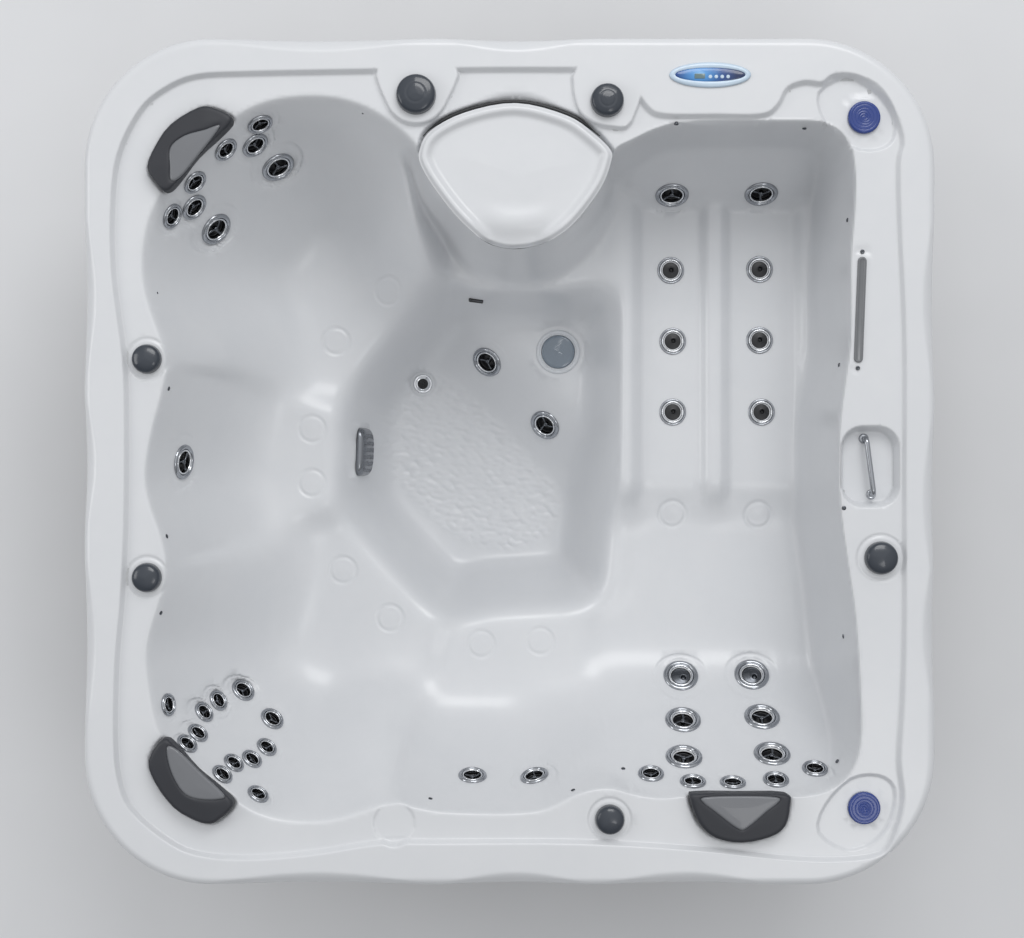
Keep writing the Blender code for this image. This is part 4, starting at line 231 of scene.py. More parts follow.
def inside_distance(x, y, loop, reach=None):
    """Distance to a closed outline, positive inside: nearest edge, signed by counting crossings.
    With a reach, places further than that outside the outline's box only get minus the reach."""
    flat_x, flat_y = np.ravel(x), np.ravel(y)
    result = np.full(flat_x.shape, 0.0 if reach is None else -reach)
    chosen = np.arange(flat_x.size)
    if reach is not None:
        low, high = loop.min(0) - reach, loop.max(0) + reach
        chosen = np.flatnonzero((flat_x > low[0]) & (flat_x < high[0]) & (flat_y > low[1]) & (flat_y < high[1]))
    start = loop
    edge = np.roll(loop, -1, 0) - loop
    squared = (edge * edge).sum(1)
    rise = np.where(edge[:, 1] == 0, 1.0, edge[:, 1])
    end_y = start[:, 1] + edge[:, 1]
    for part in np.array_split(chosen, max(chosen.size // 4000, 1)):
        px, py = flat_x[part][:, None], flat_y[part][:, None]
        dx, dy = px - start[:, 0], py - start[:, 1]
        along = np.clip((dx * edge[:, 0] + dy * edge[:, 1]) / squared, 0, 1)
        away = np.sqrt(((dx - along * edge[:, 0]) ** 2 + (dy - along * edge[:, 1]) ** 2).min(1))
        spans = (start[:, 1] > py) != (end_y > py)
        inside = (spans & (dx < dy / rise * edge[:, 0])).sum(1) % 2 == 1
        result[part] = np.where(inside, away, -away)
    return result.reshape(np.shape(x))


def box_distance(x, y, centre, half, radius, turn=0.0):
    """Distance to a rounded rectangle, positive inside it."""
    dx, dy = x - centre[0], y - centre[1]
    u = np.abs(dx * math.cos(turn) + dy * math.sin(turn)) - (half[0] - radius)
    v = np.abs(dy * math.cos(turn) - dx * math.sin(turn)) - (half[1] - radius)
    return radius - (np.hypot(np.maximum(u, 0), np.maximum(v, 0)) + np.minimum(np.maximum(u, v), 0))


def left_of(x, y, ridge):
    """Distance to the left of a line drawn through two places."""
    a, b = place(ridge[0]), place(ridge[1])
    along = (b - a) / np.linalg.norm(b - a)
    return along[0] * (y - a[1]) - along[1] * (x - a[0])


def ramp(value, low, high):
    """0 below low, 1 above high, smooth (3t^2 - 2t^3) between them."""
    t = np.clip((value - low) / (high - low), 0, 1)
    return t * t * (3 - 2 * t)


def soft_max(a, b, blend):
    """The higher of two surfaces, with a fillet where they meet."""
    h = np.maximum(blend - np.abs(a - b), 0) / blend
    return np.maximum(a, b) + h * h * blend / 4


def soft_min(a, b, blend):
    """The lower of two surfaces, with a rounded edge where they meet."""
    return -soft_max(-a, -b, blend)


def back(distance, run, depth, power=2.0):
    """A concave back: -depth * (1 - (1 - distance/run)^power)."""
    t = np.clip(distance / run, None, 1)
    return -depth * np.where(t < 0, power * t, 1 - np.maximum(1 - t, 0) ** power)


BASIN, STEP_LINE, FOOTWELL = (closed_curve(shares) for shares in (BASIN_SHARES, STEP_SHARES, FOOTWELL_SHARES))
LID_LINE = closed_curve(LID_SHARES)
PILLOW_LINES = {name: closed_curve(shares, 3) for name, shares in PILLOW_SHARES.items()}
KNOB_PADS = [closed_curve(shares, 3) for shares in KNOB_PAD_SHARES]
PEBBLES = closed_curve(PEBBLE_SHARES)
PEBBLE_PITCH, PEBBLE_HALF, PEBBLE_RISE = (0.025, 0.0135), (0.021, 0.0115), 0.0042


def ridge_climb(outside):
    return RIDGE_RISE * (np.maximum(outside + RIDGE_RUN, 0) / RIDGE_RUN) ** 2


def seat(distance, pan, run, outside, power=2.0):
    """A seat: the higher of its back and its pan, whose sides climb to the ridges, lifted beyond them."""
    wall = EDGE_HEIGHT + back(distance, run, pan + BACK_OVERDEPTH, power)
    return (soft_max(wall, HEIGHT - pan + ridge_climb(outside), SEAT_BLEND)
            + BEYOND_SLOPE * np.maximum(outside, 0))


def lounger(x, y, distance, outside):
    """The lounger: leg channels, seat, sloping back, slanted foot rest and steep sides."""
    step = ramp(LOUNGE_KNEE * HALF[1] - y, 0, LOUNGE_STEP_RUN)
    pan = HEIGHT - LEG_DEPTH - (LOUNGE_SEAT_DEPTH - LEG_DEPTH) * step
    for low, high in CHANNELS:
        middle, half = (low + high) / 2 * HALF[0], (high - low) / 2 * HALF[0]
        trough = 1 - ramp(np.abs(x - middle), half - CHANNEL_EDGE, half + CHANNEL_EDGE / 2)
        pan = pan - CHANNEL_DEPTH * trough * (1 - step)
    pan = pan + CHANNEL_DEPTH * (1 - step) + ridge_climb(outside)
    behind = EDGE_HEIGHT + back(y - LOUNGE_BACK_EDGE * HALF[1], LOUNGE_BACK_RUN, LOUNGE_SEAT_DEPTH)
    foot = HEIGHT - FOOT_REST_DROP - FOOT_REST_SLOPE * (LOUNGE_FOOT_EDGE * HALF[1] - y)
    side = EDGE_HEIGHT + back(distance, LOUNGE_SIDE_RUN, LOUNGE_SEAT_DEPTH + BACK_OVERDEPTH)
    return soft_max(soft_max(soft_max(pan, foot, FOOT_REST_BLEND), behind, SEAT_BLEND), side, SEAT_BLEND)


def footwell(x, y, distance):
    """The footwell: steep walls, flat floor and the slanted ledge that carries the light."""
    wall = HEIGHT - FOOT_BRIM_DEPTH + back(distance, FOOT_WALL_RUN, FOOT_DEPTH - FOOT_BRIM_DEPTH
                                           + BACK_OVERDEPTH, FOOT_WALL_POWER)
    up = -left_of(x, y, LEDGE)
    slant = soft_min(LEDGE_SLOPE * up, LEDGE_RISE + 0 * up, LEDGE_BLEND)
    return soft_max(wall, HEIGHT - FOOT_DEPTH + soft_max(slant, 0 * up, LEDGE_BLEND), FOOT_BLEND)


def sharp_basin(x, y, even=None):
    """The basin before its edges are rounded: the lowest of the seats, the lounger and the footwell.
    A function given as even smooths the distance that the corner seats' backs follow."""
    distance = inside_distance(x, y, BASIN)
    calm = distance if even is None else even(distance)
    top_side, side_low = left_of(x, y, RIDGE_CORNER_SIDE), left_of(x, y, RIDGE_SIDE_CORNER)
    bottom_low, lounge_bottom = left_of(x, y, RIDGE_BOTTOM_CORNER), left_of(x, y, RIDGE_LOUNGE_BOTTOM)
    swap = ramp(y, RIDGE_SWAP[0] * HALF[1], RIDGE_SWAP[1] * HALF[1])
    lounge = lounge_bottom * (1 - swap) + left_of(x, y, RIDGE_LOUNGE_FOOTWELL) * swap
    lowest = seat(calm, CORNER_SEAT_DEPTH, CORNER_BACK_RUN, np.maximum(-top_side, x - TOP_SEAT_END * HALF[0]))
    for other in (seat(distance, SIDE_SEAT_DEPTH, SIDE_BACK_RUN, np.maximum(top_side, -side_low),
                       SIDE_BACK_POWER),
                  seat(calm, CORNER_SEAT_DEPTH, CORNER_BACK_RUN, np.maximum(side_low, bottom_low)),
                  seat(distance, SIDE_SEAT_DEPTH, SIDE_BACK_RUN, np.maximum(-bottom_low, lounge_bottom),
                       SIDE_BACK_POWER),
                  lounger(x, y, distance, -lounge),
                  seat(distance, LANDING_DEPTH, LANDING_BACK_RUN,
                       np.maximum(np.maximum(LANDING_SIDES[0] * HALF[0] - x, x - LANDING_SIDES[1] * HALF[0]),
                                  LANDING_FRONT * HALF[1] - y)),
                  footwell(x, y, inside_distance(x, y, FOOTWELL, 0.5))):
        lowest = np.minimum(lowest, other)
    return lowest


def rounded_basin(x, y):
    """The basin with its edges rounded: the mean height over a small disc."""
    total, weight = 2 * sharp_basin(x, y), 2
    for radius, count in ((BASIN_ROUNDING / 2, 6), (BASIN_ROUNDING, 6)):
        for index in range(count):
            angle = 2 * math.pi * index / count + radius
            total = total + sharp_basin(x + radius * math.cos(angle), y + radius * math.sin(angle))
            weight += 1
    return total / weight


def facet_depth(x, y):
    """How far in from the outer edge the lens-shaped facets reach: half sine waves along each side."""
    depth = 0 * x
    for side, spans in FACETS.items():
        along = x / HALF[0] if side in ("front", "back") else y / HALF[1]
        near = {"front": y < CORNER_RADIUS - HALF[1], "back": y > HALF[1] - CORNER_RADIUS,
                "left": x < CORNER_RADIUS - HALF[0], "right": x > HALF[0] - CORNER_RADIUS}[side]
        for low, high in spans:
            t = np.clip((along - low) / (high - low), 0, 1)
            depth = np.maximum(depth, np.where(near, np.sin(math.pi * t) * WAVE_DEPTH, 0))
    return depth


def step_down(step, pads, run=STEP_RUN):
    """Share of the step down to the shelf, from the distances inside its line and inside the pads."""
    shelf = ramp(step, -run / 2, run / 2)
    for pad in pads:
        shelf = shelf * (1 - ramp(pad, -run / 4, run / 4))
    return shelf


def facet_cut(x, y):
    """How far the lens facets cut into the rim: a slope that steepens towards the outer edge."""
    inset = box_distance(x, y, (0, 0), HALF, CORNER_RADIUS)
    cut = soft_max(facet_depth(x, y) + LIP_DRAFT - inset, 0 * x, WAVE_BLEND) - WAVE_BLEND / 4
    return WAVE_SLOPE * cut + WAVE_CURVE * cut * cut


def rim_top(x, y):
    """The rim without its rounded lip: raised border, lower shelf, raised pads and the lens facets."""
    shelf = step_down(inside_distance(x, y, STEP_LINE), [inside_distance(x, y, pad, 0.05) for pad in KNOB_PADS])
    return HEIGHT - STEP_DROP * shelf - facet_cut(x, y)


def lip_fall(x, y):
    """How far the lip falls below the rim's top: a quarter round, then a steep straight side."""
    inset = box_distance(x, y, (0, 0), HALF, CORNER_RADIUS)
    across = np.clip((inset - LIP_DRAFT) / LIP_RADIUS, 0, 1)
    corner = LIP_RADIUS * (1 - np.sqrt(np.maximum(1 - (1 - across) ** 2, 0)))
    return corner + np.maximum(LIP_DRAFT - inset, 0) * (LIP_DROP - LIP_RADIUS) / LIP_DRAFT


def pocket(surface, distance, floor):
    """Cuts a flat-bottomed pocket with steep sides into a surface."""
    return np.minimum(surface, floor + POCKET_SLOPE * np.maximum(-distance, 0))


def with_pockets(x, y, surface):
    """The pockets for the lid, the pillows, the caps, the blank disc and the grab rail."""
    behind = 0.006 * ramp(y, .74 * HALF[1], .79 * HALF[1])
    surface = pocket(surface, inside_distance(x, y, LID_LINE, 0.06) + LID_GAP + behind, HEIGHT - LID_LEDGE_DROP)
    for line in PILLOW_LINES.values():
        surface = pocket(surface, inside_distance(x, y, line, 0.06), HEIGHT - PILLOW_POCKET_DROP)
    for share in CAPS.values():
        centre = place(share)
        surface = pocket(surface, CAP_POCKET_RADIUS - np.hypot(x - centre[0], y - centre[1]),
                         HEIGHT - CAP_POCKET_DROP)
    centre = place(BLANK_SHARE)
    surface = pocket(surface, BLANK_RADIUS - np.hypot(x - centre[0], y - centre[1]), HEIGHT - BLANK_POCKET_DROP)
    away = box_distance(x, y, place(RAIL_POCKET_SHARE), (RAIL_POCKET_WIDTH / 2, RAIL_POCKET_LENGTH / 2),
                        RAIL_POCKET_RADIUS)
    return pocket(surface, away, HEIGHT - RAIL_POCKET_DROP)


def shell_height(x, y):
    """Height of the shell's upper face, as the solids have it."""
    return with_pockets(x, y, soft_min(rim_top(x, y) - lip_fall(x, y), rounded_basin(x, y), EDGE_BLEND))


def seatings(shares, level=False, turns=None):
    """Flat spots on the shell: middles, and rows across, up and normal for each, in metres."""
    spots = np.array([place(share) for share in shares])
    step = 0.006
    x = spots[:, 0][:, None] + step * np.array([0, 1, -1, 0, 0])
    y = spots[:, 1][:, None] + step * np.array([0, 0, 0, 1, -1])
    height = shell_height(x, y)
    middle = np.column_stack([spots, height[:, 0]])
    if level:
        turns = np.zeros(len(spots)) if turns is None else np.array(turns)
        normal = np.tile([0.0, 0.0, 1.0], (len(spots), 1))
        across = np.column_stack([np.cos(turns), np.sin(turns), 0 * turns])
    else:
        normal = np.column_stack([height[:, 2] - height[:, 1], height[:, 4] - height[:, 3],
                                  np.full(len(spots), 2 * step)])
        normal /= np.linalg.norm(normal, axis=1, keepdims=True)
        across = np.cross(normal, [0.0, 0.0, 1.0])
        across[np.linalg.norm(across, axis=1) < 1e-3] = (1.0, 0.0, 0.0)
        across /= np.linalg.norm(across, axis=1, keepdims=True)
    return [(m, np.stack([a, np.cross(n, a), n])) for m, a, n in zip(middle, across, normal)]


ALL_JETS = [(group, index, size) for group, jets in JETS.items() for index, (_, _, size) in enumerate(jets)]
JET_SEATS = dict(zip([(g, i) for g, i, _ in ALL_JETS],
                     seatings([jet[:2] for jets in JETS.values() for jet in jets])))
KNOB_SEATS = dict(zip(KNOBS, seatings([k[:2] for k in KNOBS.values()], level=True)))
CAP_SEATS = dict(zip(CAPS, seatings(CAPS.values(), level=True)))
SPOUT_ENDS = np.array([place(share) for share in SPOUT_SHARES])
SPOUT_TURN = math.atan2(*(SPOUT_ENDS[1] - SPOUT_ENDS[0])[::-1])
SPOUT_LENGTH = float(np.linalg.norm(SPOUT_ENDS[1] - SPOUT_ENDS[0])) + SPOUT_WIDTH
PANEL_SEAT, SPOUT_SEAT, DRAIN_SEAT, FILTER_SEAT = seatings(
    (PANEL_SHARE, np.mean(SPOUT_SHARES, 0), DRAIN_SHARE, FILTER_SHARE), True, (0, SPOUT_TURN, 0, 0))
LIGHT_SEAT, SUCTION_SEAT, SLIT_SEAT = seatings((LIGHT_SHARE, SUCTION_SHARE, SLIT_SHARE))
LED_SEATS = seatings(LED_SHARES)


# Finishes

class Value:
    """A node's socket in arithmetic: every operator adds one Math node."""

    def __init__(self, tree, socket):
        self.tree, self.socket = tree, socket

    def join(self, operation, first, second=None, clamp=False):
        made = self.tree.nodes.new("ShaderNodeMath")
        made.operation, made.use_clamp = operation, clamp
        for slot, item in zip(made.inputs, (first, second)):
            if isinstance(item, Value):
                self.tree.links.new(item.socket, slot)
            elif item is not None:
                slot.default_value = item
        return Value(self.tree, made.outputs[0])

    def __add__(self, other):
        return self.join("ADD", self, other)

    def __sub__(self, other):
        return self.join("SUBTRACT", self, other)

    def __rsub__(self, other):
        return self.join("SUBTRACT", other, self)

    def __mul__(self, other):
        return self.join("MULTIPLY", self, other)

    def __truediv__(self, other):
        return self.join("DIVIDE", self, other)

    def __gt__(self, other):
        return self.join("GREATER_THAN", self, other)

    def __lt__(self, other):
        return self.join("LESS_THAN", self, other)

    __radd__, __rmul__ = __add__, __mul__

    def clamped(self):
        return self.join("ADD", self, 0.0, clamp=True)


class Finish:
    """A material's nodes: each call of node adds one, from its type, its settings and its sockets."""

    def __init__(self, name, colour, roughness, **fixed):
        self.material = bpy.data.materials.new(name)
        self.material.use_nodes = True
        self.tree = self.material.node_tree
        self.shader = self.tree.nodes["Principled BSDF"]
        self.material.diffuse_color = (*colour, 1.0)
        self.set(Base_Color=(*colour, 1.0), Roughness=roughness, **fixed)

    def set(self, **sockets):
        for name, item in sockets.items():
            slot = self.shader.inputs[name.replace("_", " ")]
            if isinstance(item, Value):
                self.tree.links.new(item.socket, slot)
            else:
                slot.default_value = item

    def node(self, kind, settings=None, output=0, **sockets):
        made = self.tree.nodes.new("ShaderNode" + kind)
        for name, item in (settings or {}).items():
            if name == "stops":
                ramp_stops = made.color_ramp.elements
                while len(ramp_stops) < len(item):
                    ramp_stops.new(1.0)
                for stop, (position, colour) in zip(ramp_stops, item):
                    stop.position, stop.color = position, (*colour, 1.0)
            else:
                setattr(made, name, item)
        for name, item in sockets.items():
            slot = made.inputs[int(name[1:])] if name[0] == "i" and name[1:].isdigit() \
                else made.inputs[name.replace("_", " ")]
            if isinstance(item, Value):
                self.tree.links.new(item.socket, slot)
            else:
                slot.default_value = item
        return Value(self.tree, made.outputs[output])

    def place(self, scale=(1, 1, 1), centre=(0, 0, 0), turn=(0, 0, 0)):
        """Object coordinates, moved, turned and scaled."""
        spot = self.node("TexCoord", output=3)
        return self.node("Mapping", {"vector_type": "POINT"}, Vector=spot, Scale=scale, Rotation=turn,
                         Location=[-c * s for c, s in zip(centre, scale)])

    def noise(self, scale, detail=3.0, vector=None, roughness=0.5, distortion=0.0):
        return self.node("TexNoise", Vector=vector or self.place(), Scale=scale, Detail=detail,
                         Roughness=roughness, Distortion=distortion)

    def mix(self, factor, low, high):
        """A colour between two colours."""
        return self.node("Mix", {"data_type": "RGBA"}, output=2, i0=factor, i6=low, i7=high)

    def bump(self, height, distance, strength=1.0):
        self.set(Normal=self.node("Bump", Height=height, Distance=distance, Strength=strength))


def rgb(red, green, blue):
    """A linear colour from the 0-255 tones that a screen shows."""
    tones = [tone / 255 for tone in (red, green, blue)]
    return tuple(t / 12.92 if t <= 0.04045 else ((t + 0.055) / 1.055) ** 2.4 for t in tones)


def four(colour):
    return (*colour, 1.0)


def acrylic_finish():
    """Pearl white acrylic: a glossy coat over faint clouds, with glass-fibre backing on the underside."""
    finish = Finish("pearl_acrylic", rgb(216, 217, 219), 0.3, Coat_Weight=0.24, Coat_Roughness=0.19)
    clouds = finish.noise(7.0, 4.0, distortion=0.6)
    veins = finish.noise(38.0, 5.0, roughness=0.65)
    tone = finish.mix((clouds * 0.7 + veins * 0.3 - 0.3).clamped(), four(rgb(211, 213, 216)),
                      four(rgb(220, 221, 223)))
    backing = finish.node("Attribute", {"attribute_name": "backing"}, output=2)
    fibre = finish.noise(160.0, 6.0, roughness=0.7)
    glass = finish.mix(fibre, four(rgb(170, 172, 173)), four(rgb(204, 206, 208)))
    finish.set(Base_Color=finish.mix(backing, tone, glass),
               Roughness=0.26 + veins * 0.08 + backing * 0.3, Coat_Weight=0.24 - backing * 0.24)
    finish.bump(clouds * 0.3 + fibre * backing, 0.0004, 0.25)
    return finish.material


def metal_finish(name, colour, roughness):
    """Polished metal with faint wiping marks and cloudy roughness."""
    finish = Finish(name, colour, roughness, Metallic=1.0)
    cloud = finish.noise(45.0, 4.0)
    wipes = finish.noise(24.0, 5.0, finish.place((1, 9, 1), turn=(0, 0, 0.6)))
    finish.set(Roughness=roughness * 0.7 + cloud * roughness * 0.5 + wipes * 0.02,
               Base_Color=finish.mix(cloud, four([c * 0.94 for c in colour]), four(colour)))
    finish.bump(wipes, 0.0001, 0.1)
    return finish.material


def plastic_finish(name, colour, roughness, grain=420.0, depth=0.0001, spread=0.12, **fixed):
    """Moulded plastic: fine grain in the bump, slow tone changes and uneven gloss."""
    finish = Finish(name, colour, roughness, **fixed)
    slow, fine = finish.noise(14.0, 3.0), finish.noise(grain, 2.0)
    finish.set(Base_Color=finish.mix(slow * 0.7 + fine * 0.3, four([c * (1 - spread) for c in colour]),
                                     four([min(c * (1 + spread), 1.0) for c in colour])),
               Roughness=roughness - 0.04 + slow * 0.08)
    finish.bump(fine, depth, 0.5)
    return finish.material


def board_finish(name, light, dark, turn=(0, 0, 0)):
    """Wood-grain boards: rings of noise stretched along the board, pores and scratches."""
    finish = Finish(name, light, 0.6)
    spot = finish.place((1.2, 1.2, 16.0), turn=turn)
    grain = finish.noise(6.0, 8.0, spot, 0.62, 0.5)
    pores = finish.noise(60.0, 4.0, finish.place((1.5, 1.5, 40.0), turn=turn))
    finish.set(Base_Color=finish.mix((grain * 1.6 - 0.35 + pores * 0.15).clamped(), four(dark), four(light)),
               Roughness=0.5 + grain * 0.2)
    finish.bump(grain * 0.7 + pores * 0.5, 0.0012, 0.6)
    return finish.material


def panel_finish():
    """The panel's blue face: bright in the middle left and navy towards its ends."""
    finish = Finish("panel_blue_face", rgb(40, 100, 165), 0.2, Coat_Weight=0.5)
    centre = place(PANEL_SHARE)
    spot = finish.place((1, 1, 1), (centre[0] - 0.026, centre[1], 0))
    across = finish.node("VectorMath", {"operation": "LENGTH"}, output=1,
                         i0=finish.node("VectorMath", {"operation": "MULTIPLY"}, i0=spot, i1=(1, 1.6, 0)))
    swirl = finish.noise(26.0, 3.0)
    shade = finish.node("ValToRGB", {"stops": ((0.0, rgb(150, 200, 238)), (0.22, rgb(72, 142, 206)),
                                               (0.6, rgb(26, 72, 138)), (1.0, rgb(14, 38, 84)))},
                        Fac=across * 11.0 + swirl * 0.16 - 0.08)
    finish.set(Base_Color=shade, Roughness=0.16 + swirl * 0.08)
    return finish.material


FINISHES = {
    "acrylic": acrylic_finish(),
    # Chrome darkened below polished chrome's own colour, for the jets' outer rings and the grab rail: painted dark
    # reflection, standing in for dark surroundings mirrored in the metal.
    "chrome": metal_finish("chrome_painted_dark_reflection", rgb(172, 175, 180), 0.09),
    "grey_plastic": plastic_finish("slate_plastic", rgb(49, 55, 64), 0.24, Coat_Weight=0.3),
    "pillow_foam": plastic_finish("charcoal_foam", rgb(43, 45, 51), 0.5, 300.0, 0.0003, 0.16),
    "pillow_insert": plastic_finish("grey_foam", rgb(112, 114, 118), 0.36, 300.0, 0.0002, 0.08,
                                    Coat_Weight=0.25),
    "blue_plastic": plastic_finish("blue_cap_plastic", rgb(30, 56, 128), 0.24, Coat_Weight=0.3),
    "clear_lens": plastic_finish("lens_glass", rgb(112, 124, 136), 0.12, 200.0, 0.0001, 0.1, Coat_Weight=0.8),
    "panel_blue": panel_finish(),
    "white_plastic": plastic_finish("white_moulding", rgb(206, 209, 213), 0.34),
    "black_plastic": plastic_finish("black_moulding", rgb(30, 31, 34), 0.38),
    "cabinet_board": board_finish("cabinet_grain", rgb(92, 88, 84), rgb(58, 55, 53)),
    "frame_timber": board_finish("sawn_timber", rgb(190, 160, 118), rgb(150, 120, 84), (0, math.pi / 2, 0)),
    "foam_block": plastic_finish("pale_foam", rgb(222, 214, 186), 0.85, 90.0, 0.002, 0.06),
    "motor_paint": plastic_finish("motor_paint", rgb(58, 64, 72), 0.42, 160.0, 0.0002),
    "filter_paper": plastic_finish("filter_paper", rgb(226, 226, 220), 0.85, 500.0, 0.0004, 0.05),
    "bezel": plastic_finish("bezel_plastic", rgb(190, 208, 224), 0.22, Coat_Weight=0.4),
    "display": plastic_finish("display_window", rgb(96, 120, 122), 0.12, Coat_Weight=0.6),
    "spout_plastic": plastic_finish("spout_plastic", rgb(112, 114, 117), 0.3, Coat_Weight=0.2),
    # The lighter, undarkened copy of the same chrome, for the jets' inner rings and the drain ring: beside the
    # darkened outer rings it gives painted bright and dark reflections of one chrome.
    "bright_metal": metal_finish("bright_metal", rgb(226, 228, 231), 0.08),
    "suction_metal": metal_finish("suction_metal", rgb(138, 141, 146), 0.2),
    "dark_metal": metal_finish("dark_metal", rgb(96, 99, 104), 0.22)}


# Pieces

def piece(name, points, faces, finish, slot, body="root", stands_for=(), smooth=True, normals=None):
    """Puts a mesh in the scene with its finish, its body and the solids that it stands for."""
    mesh = bpy.data.meshes.new(name)
    mesh.from_pydata(np.asarray(points, float).reshape(-1, 3), [], faces)
    mesh.materials.append(FINISHES[finish])
    if smooth:
        mesh.shade_smooth()
    made = bpy.data.objects.new(name, mesh)
    bpy.context.scene.collection.objects.link(made)
    if normals is not None:
        mesh.normals_split_custom_set_from_vertices(normals)
    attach(made, body)
    if stands_for:
        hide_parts(*stands_for)
    return made


def join(parts):
    """One mesh from several lists of points and faces."""
    points, faces, start = [], [], 0
    for some_points, some_faces in parts:
        points.append(some_points)
        faces += [tuple(int(index) + start for index in face) for face in some_faces]
        start += len(some_points)
    return np.vstack(points), faces


def sheet_faces(rows, columns, wrap_rows=False, wrap_columns=False):
    """Quads of a grid of points, closed in either direction if asked."""
    i, j = np.meshgrid(np.arange(rows if wrap_rows else rows - 1),
                       np.arange(columns if wrap_columns else columns - 1), indexing="ij")
    i, j = i.ravel(), j.ravel()
    down, right = (i + 1) % rows, (j + 1) % columns
    return np.stack([i * columns + j, i * columns + right, down * columns + right, down * columns + j], 1)


def on_seat(seat_frame, u, v, w):
    """Points at u across, v up and w off a seat."""
    middle, axes = seat_frame
    return middle + u[..., None] * axes[0] + v[..., None] * axes[1] + w[..., None] * axes[2]


def turned(seat_frame, profile, segments=40, shape=None, ring=False, offset=(0, 0)):
    """A profile (radius, height) carried round a seat's normal:
    point = middle + r cos(a) across + r sin(a) up + h normal; shape(r, h, a) may bend it.
    A ring's profile closes on itself, any other begins and ends on the axis."""
    profile = np.array(profile, float)
    angle = (np.arange(segments) + 0.5) / segments * 2 * math.pi
    radius = np.repeat(profile[:, 0][:, None], segments, 1)
    height = np.repeat(profile[:, 1][:, None], segments, 1)
    if shape is not None:
        radius, height = shape(radius, height, angle[None, :])
    points = on_seat(seat_frame, radius * np.cos(angle) + offset[0], radius * np.sin(angle) + offset[1], height)
    rows = len(profile)
    if ring:
        return points.reshape(-1, 3), sheet_faces(rows, segments, True, True)[:, ::-1]
    faces = sheet_faces(rows - 2, segments, False, True)[:, ::-1]
    body = points[1:-1].reshape(-1, 3)
    count = len(body)
    around = np.arange(segments)
    after = (around + 1) % segments
    top = [(count, int(b), int(a)) for a, b in zip(around, after)]
    bottom = [(count + 1, int(a) + count - segments, int(b) + count - segments) for a, b in zip(around, after)]
    poles = on_seat(seat_frame, np.array([offset[0], offset[0]]), np.array([offset[1], offset[1]]),
                    profile[[0, -1], 1])
    return np.vstack([body, poles]), [tuple(f) for f in faces] + [f[::-1] for f in top] + [f[::-1] for f in bottom]


def tube(path, radius, sides=10, closed_ends=True, flat=1.0):
    """A round profile carried along a path of points, with flat caps on its ends; flat squeezes it off the path's
    plane.
    """
    path = np.array(path, float)
    along = np.gradient(path, axis=0)
    along /= np.linalg.norm(along, axis=1, keepdims=True)
    helper = np.array([0.0, 0.0, 1.0]) if abs(along[:, 2]).max() < 0.9 else np.array([1.0, 0.0, 0.0])
    first = np.cross(along, helper)
    first /= np.linalg.norm(first, axis=1, keepdims=True)
    second = np.cross(along, first)
    angle = np.arange(sides) / sides * 2 * math.pi
    radius = np.broadcast_to(radius, (len(path),))[:, None, None]
    rings = path[:, None] + radius * (np.cos(angle)[None, :, None] * first[:, None]
                                      + flat * np.sin(angle)[None, :, None] * second[:, None])
    points = rings.reshape(-1, 3)
    faces = [tuple(f) for f in sheet_faces(len(path), sides, False, True)]
    if closed_ends:
        faces += [tuple(range(sides))[::-1], tuple(range(len(points) - sides, len(points)))]
    return points, faces


def outward(made):
    """Turns a closed piece's faces outwards after joining its doubles."""
    work = bmesh.new()
    work.from_mesh(made.data)
    bmesh.ops.remove_doubles(work, verts=work.verts, dist=1e-6)
    bmesh.ops.recalc_face_normals(work, faces=work.faces)
    work.to_mesh(made.data)
    work.free()
    return made


def resample(loop, spacing):
    """Even points along a closed outline."""
    closed = np.vstack([loop, loop[:1]])
    length = np.concatenate([[0], np.cumsum(np.linalg.norm(np.diff(closed, axis=0), axis=1))])
    count = max(int(round(length[-1] / spacing)), 6)
    at = np.arange(count) / count * length[-1]
    return np.stack([np.interp(at, length, closed[:, k]) for k in (0, 1)], 1)


# The fine shell

CELL = 0.004
REACH = 1.056
AXIS = np.arange(-REACH, REACH + CELL / 2, CELL)
GRID_X, GRID_Y = np.meshgrid(AXIS, AXIS, indexing="ij")


def blurred(field, sigma):
    """A field smoothed by a Gaussian of that many metres, through its spectrum."""
    frequency = np.fft.fftfreq(len(AXIS), CELL)
    kernel = np.exp(-2 * (math.pi * sigma * frequency) ** 2)
    return np.fft.irfft2(np.fft.rfft2(field) * kernel[:, None] * kernel[None, :len(AXIS) // 2 + 1],
                         s=field.shape)


def sampled(field, x, y):
    """A field between its grid points: Catmull-Rom weights over the 4 by 4 points around each place."""
    gx, gy = (x + REACH) / CELL, (y + REACH) / CELL
    i = np.clip(np.floor(gx).astype(int), 1, len(AXIS) - 3)
    j = np.clip(np.floor(gy).astype(int), 1, len(AXIS) - 3)
    weights = []
    for t in (gx - i, gy - j):
        weights.append(np.stack([-t + 2 * t ** 2 - t ** 3, 2 - 5 * t ** 2 + 3 * t ** 3,
                                 t + 4 * t ** 2 - 3 * t ** 3, -t ** 2 + t ** 3]) / 2)
    total = 0
    for a in range(4):
        for b in range(4):
            total = total + weights[0][a] * weights[1][b] * field[i + a - 1, j + b - 1]
    return total


def seat_plane(seat_frame, x, y):
    """Height of a seat's plane above each place, and the distance from its middle within the plane."""
    middle, axes = seat_frame
    dx, dy = x - middle[0], y - middle[1]
    height = middle[2] - (axes[2][0] * dx + axes[2][1] * dy) / axes[2][2]
    dz = height - middle[2]
    u = dx * axes[0][0] + dy * axes[0][1] + dz * axes[0][2]
    v = dx * axes[1][0] + dy * axes[1][1] + dz * axes[1][2]
    return height, u, v


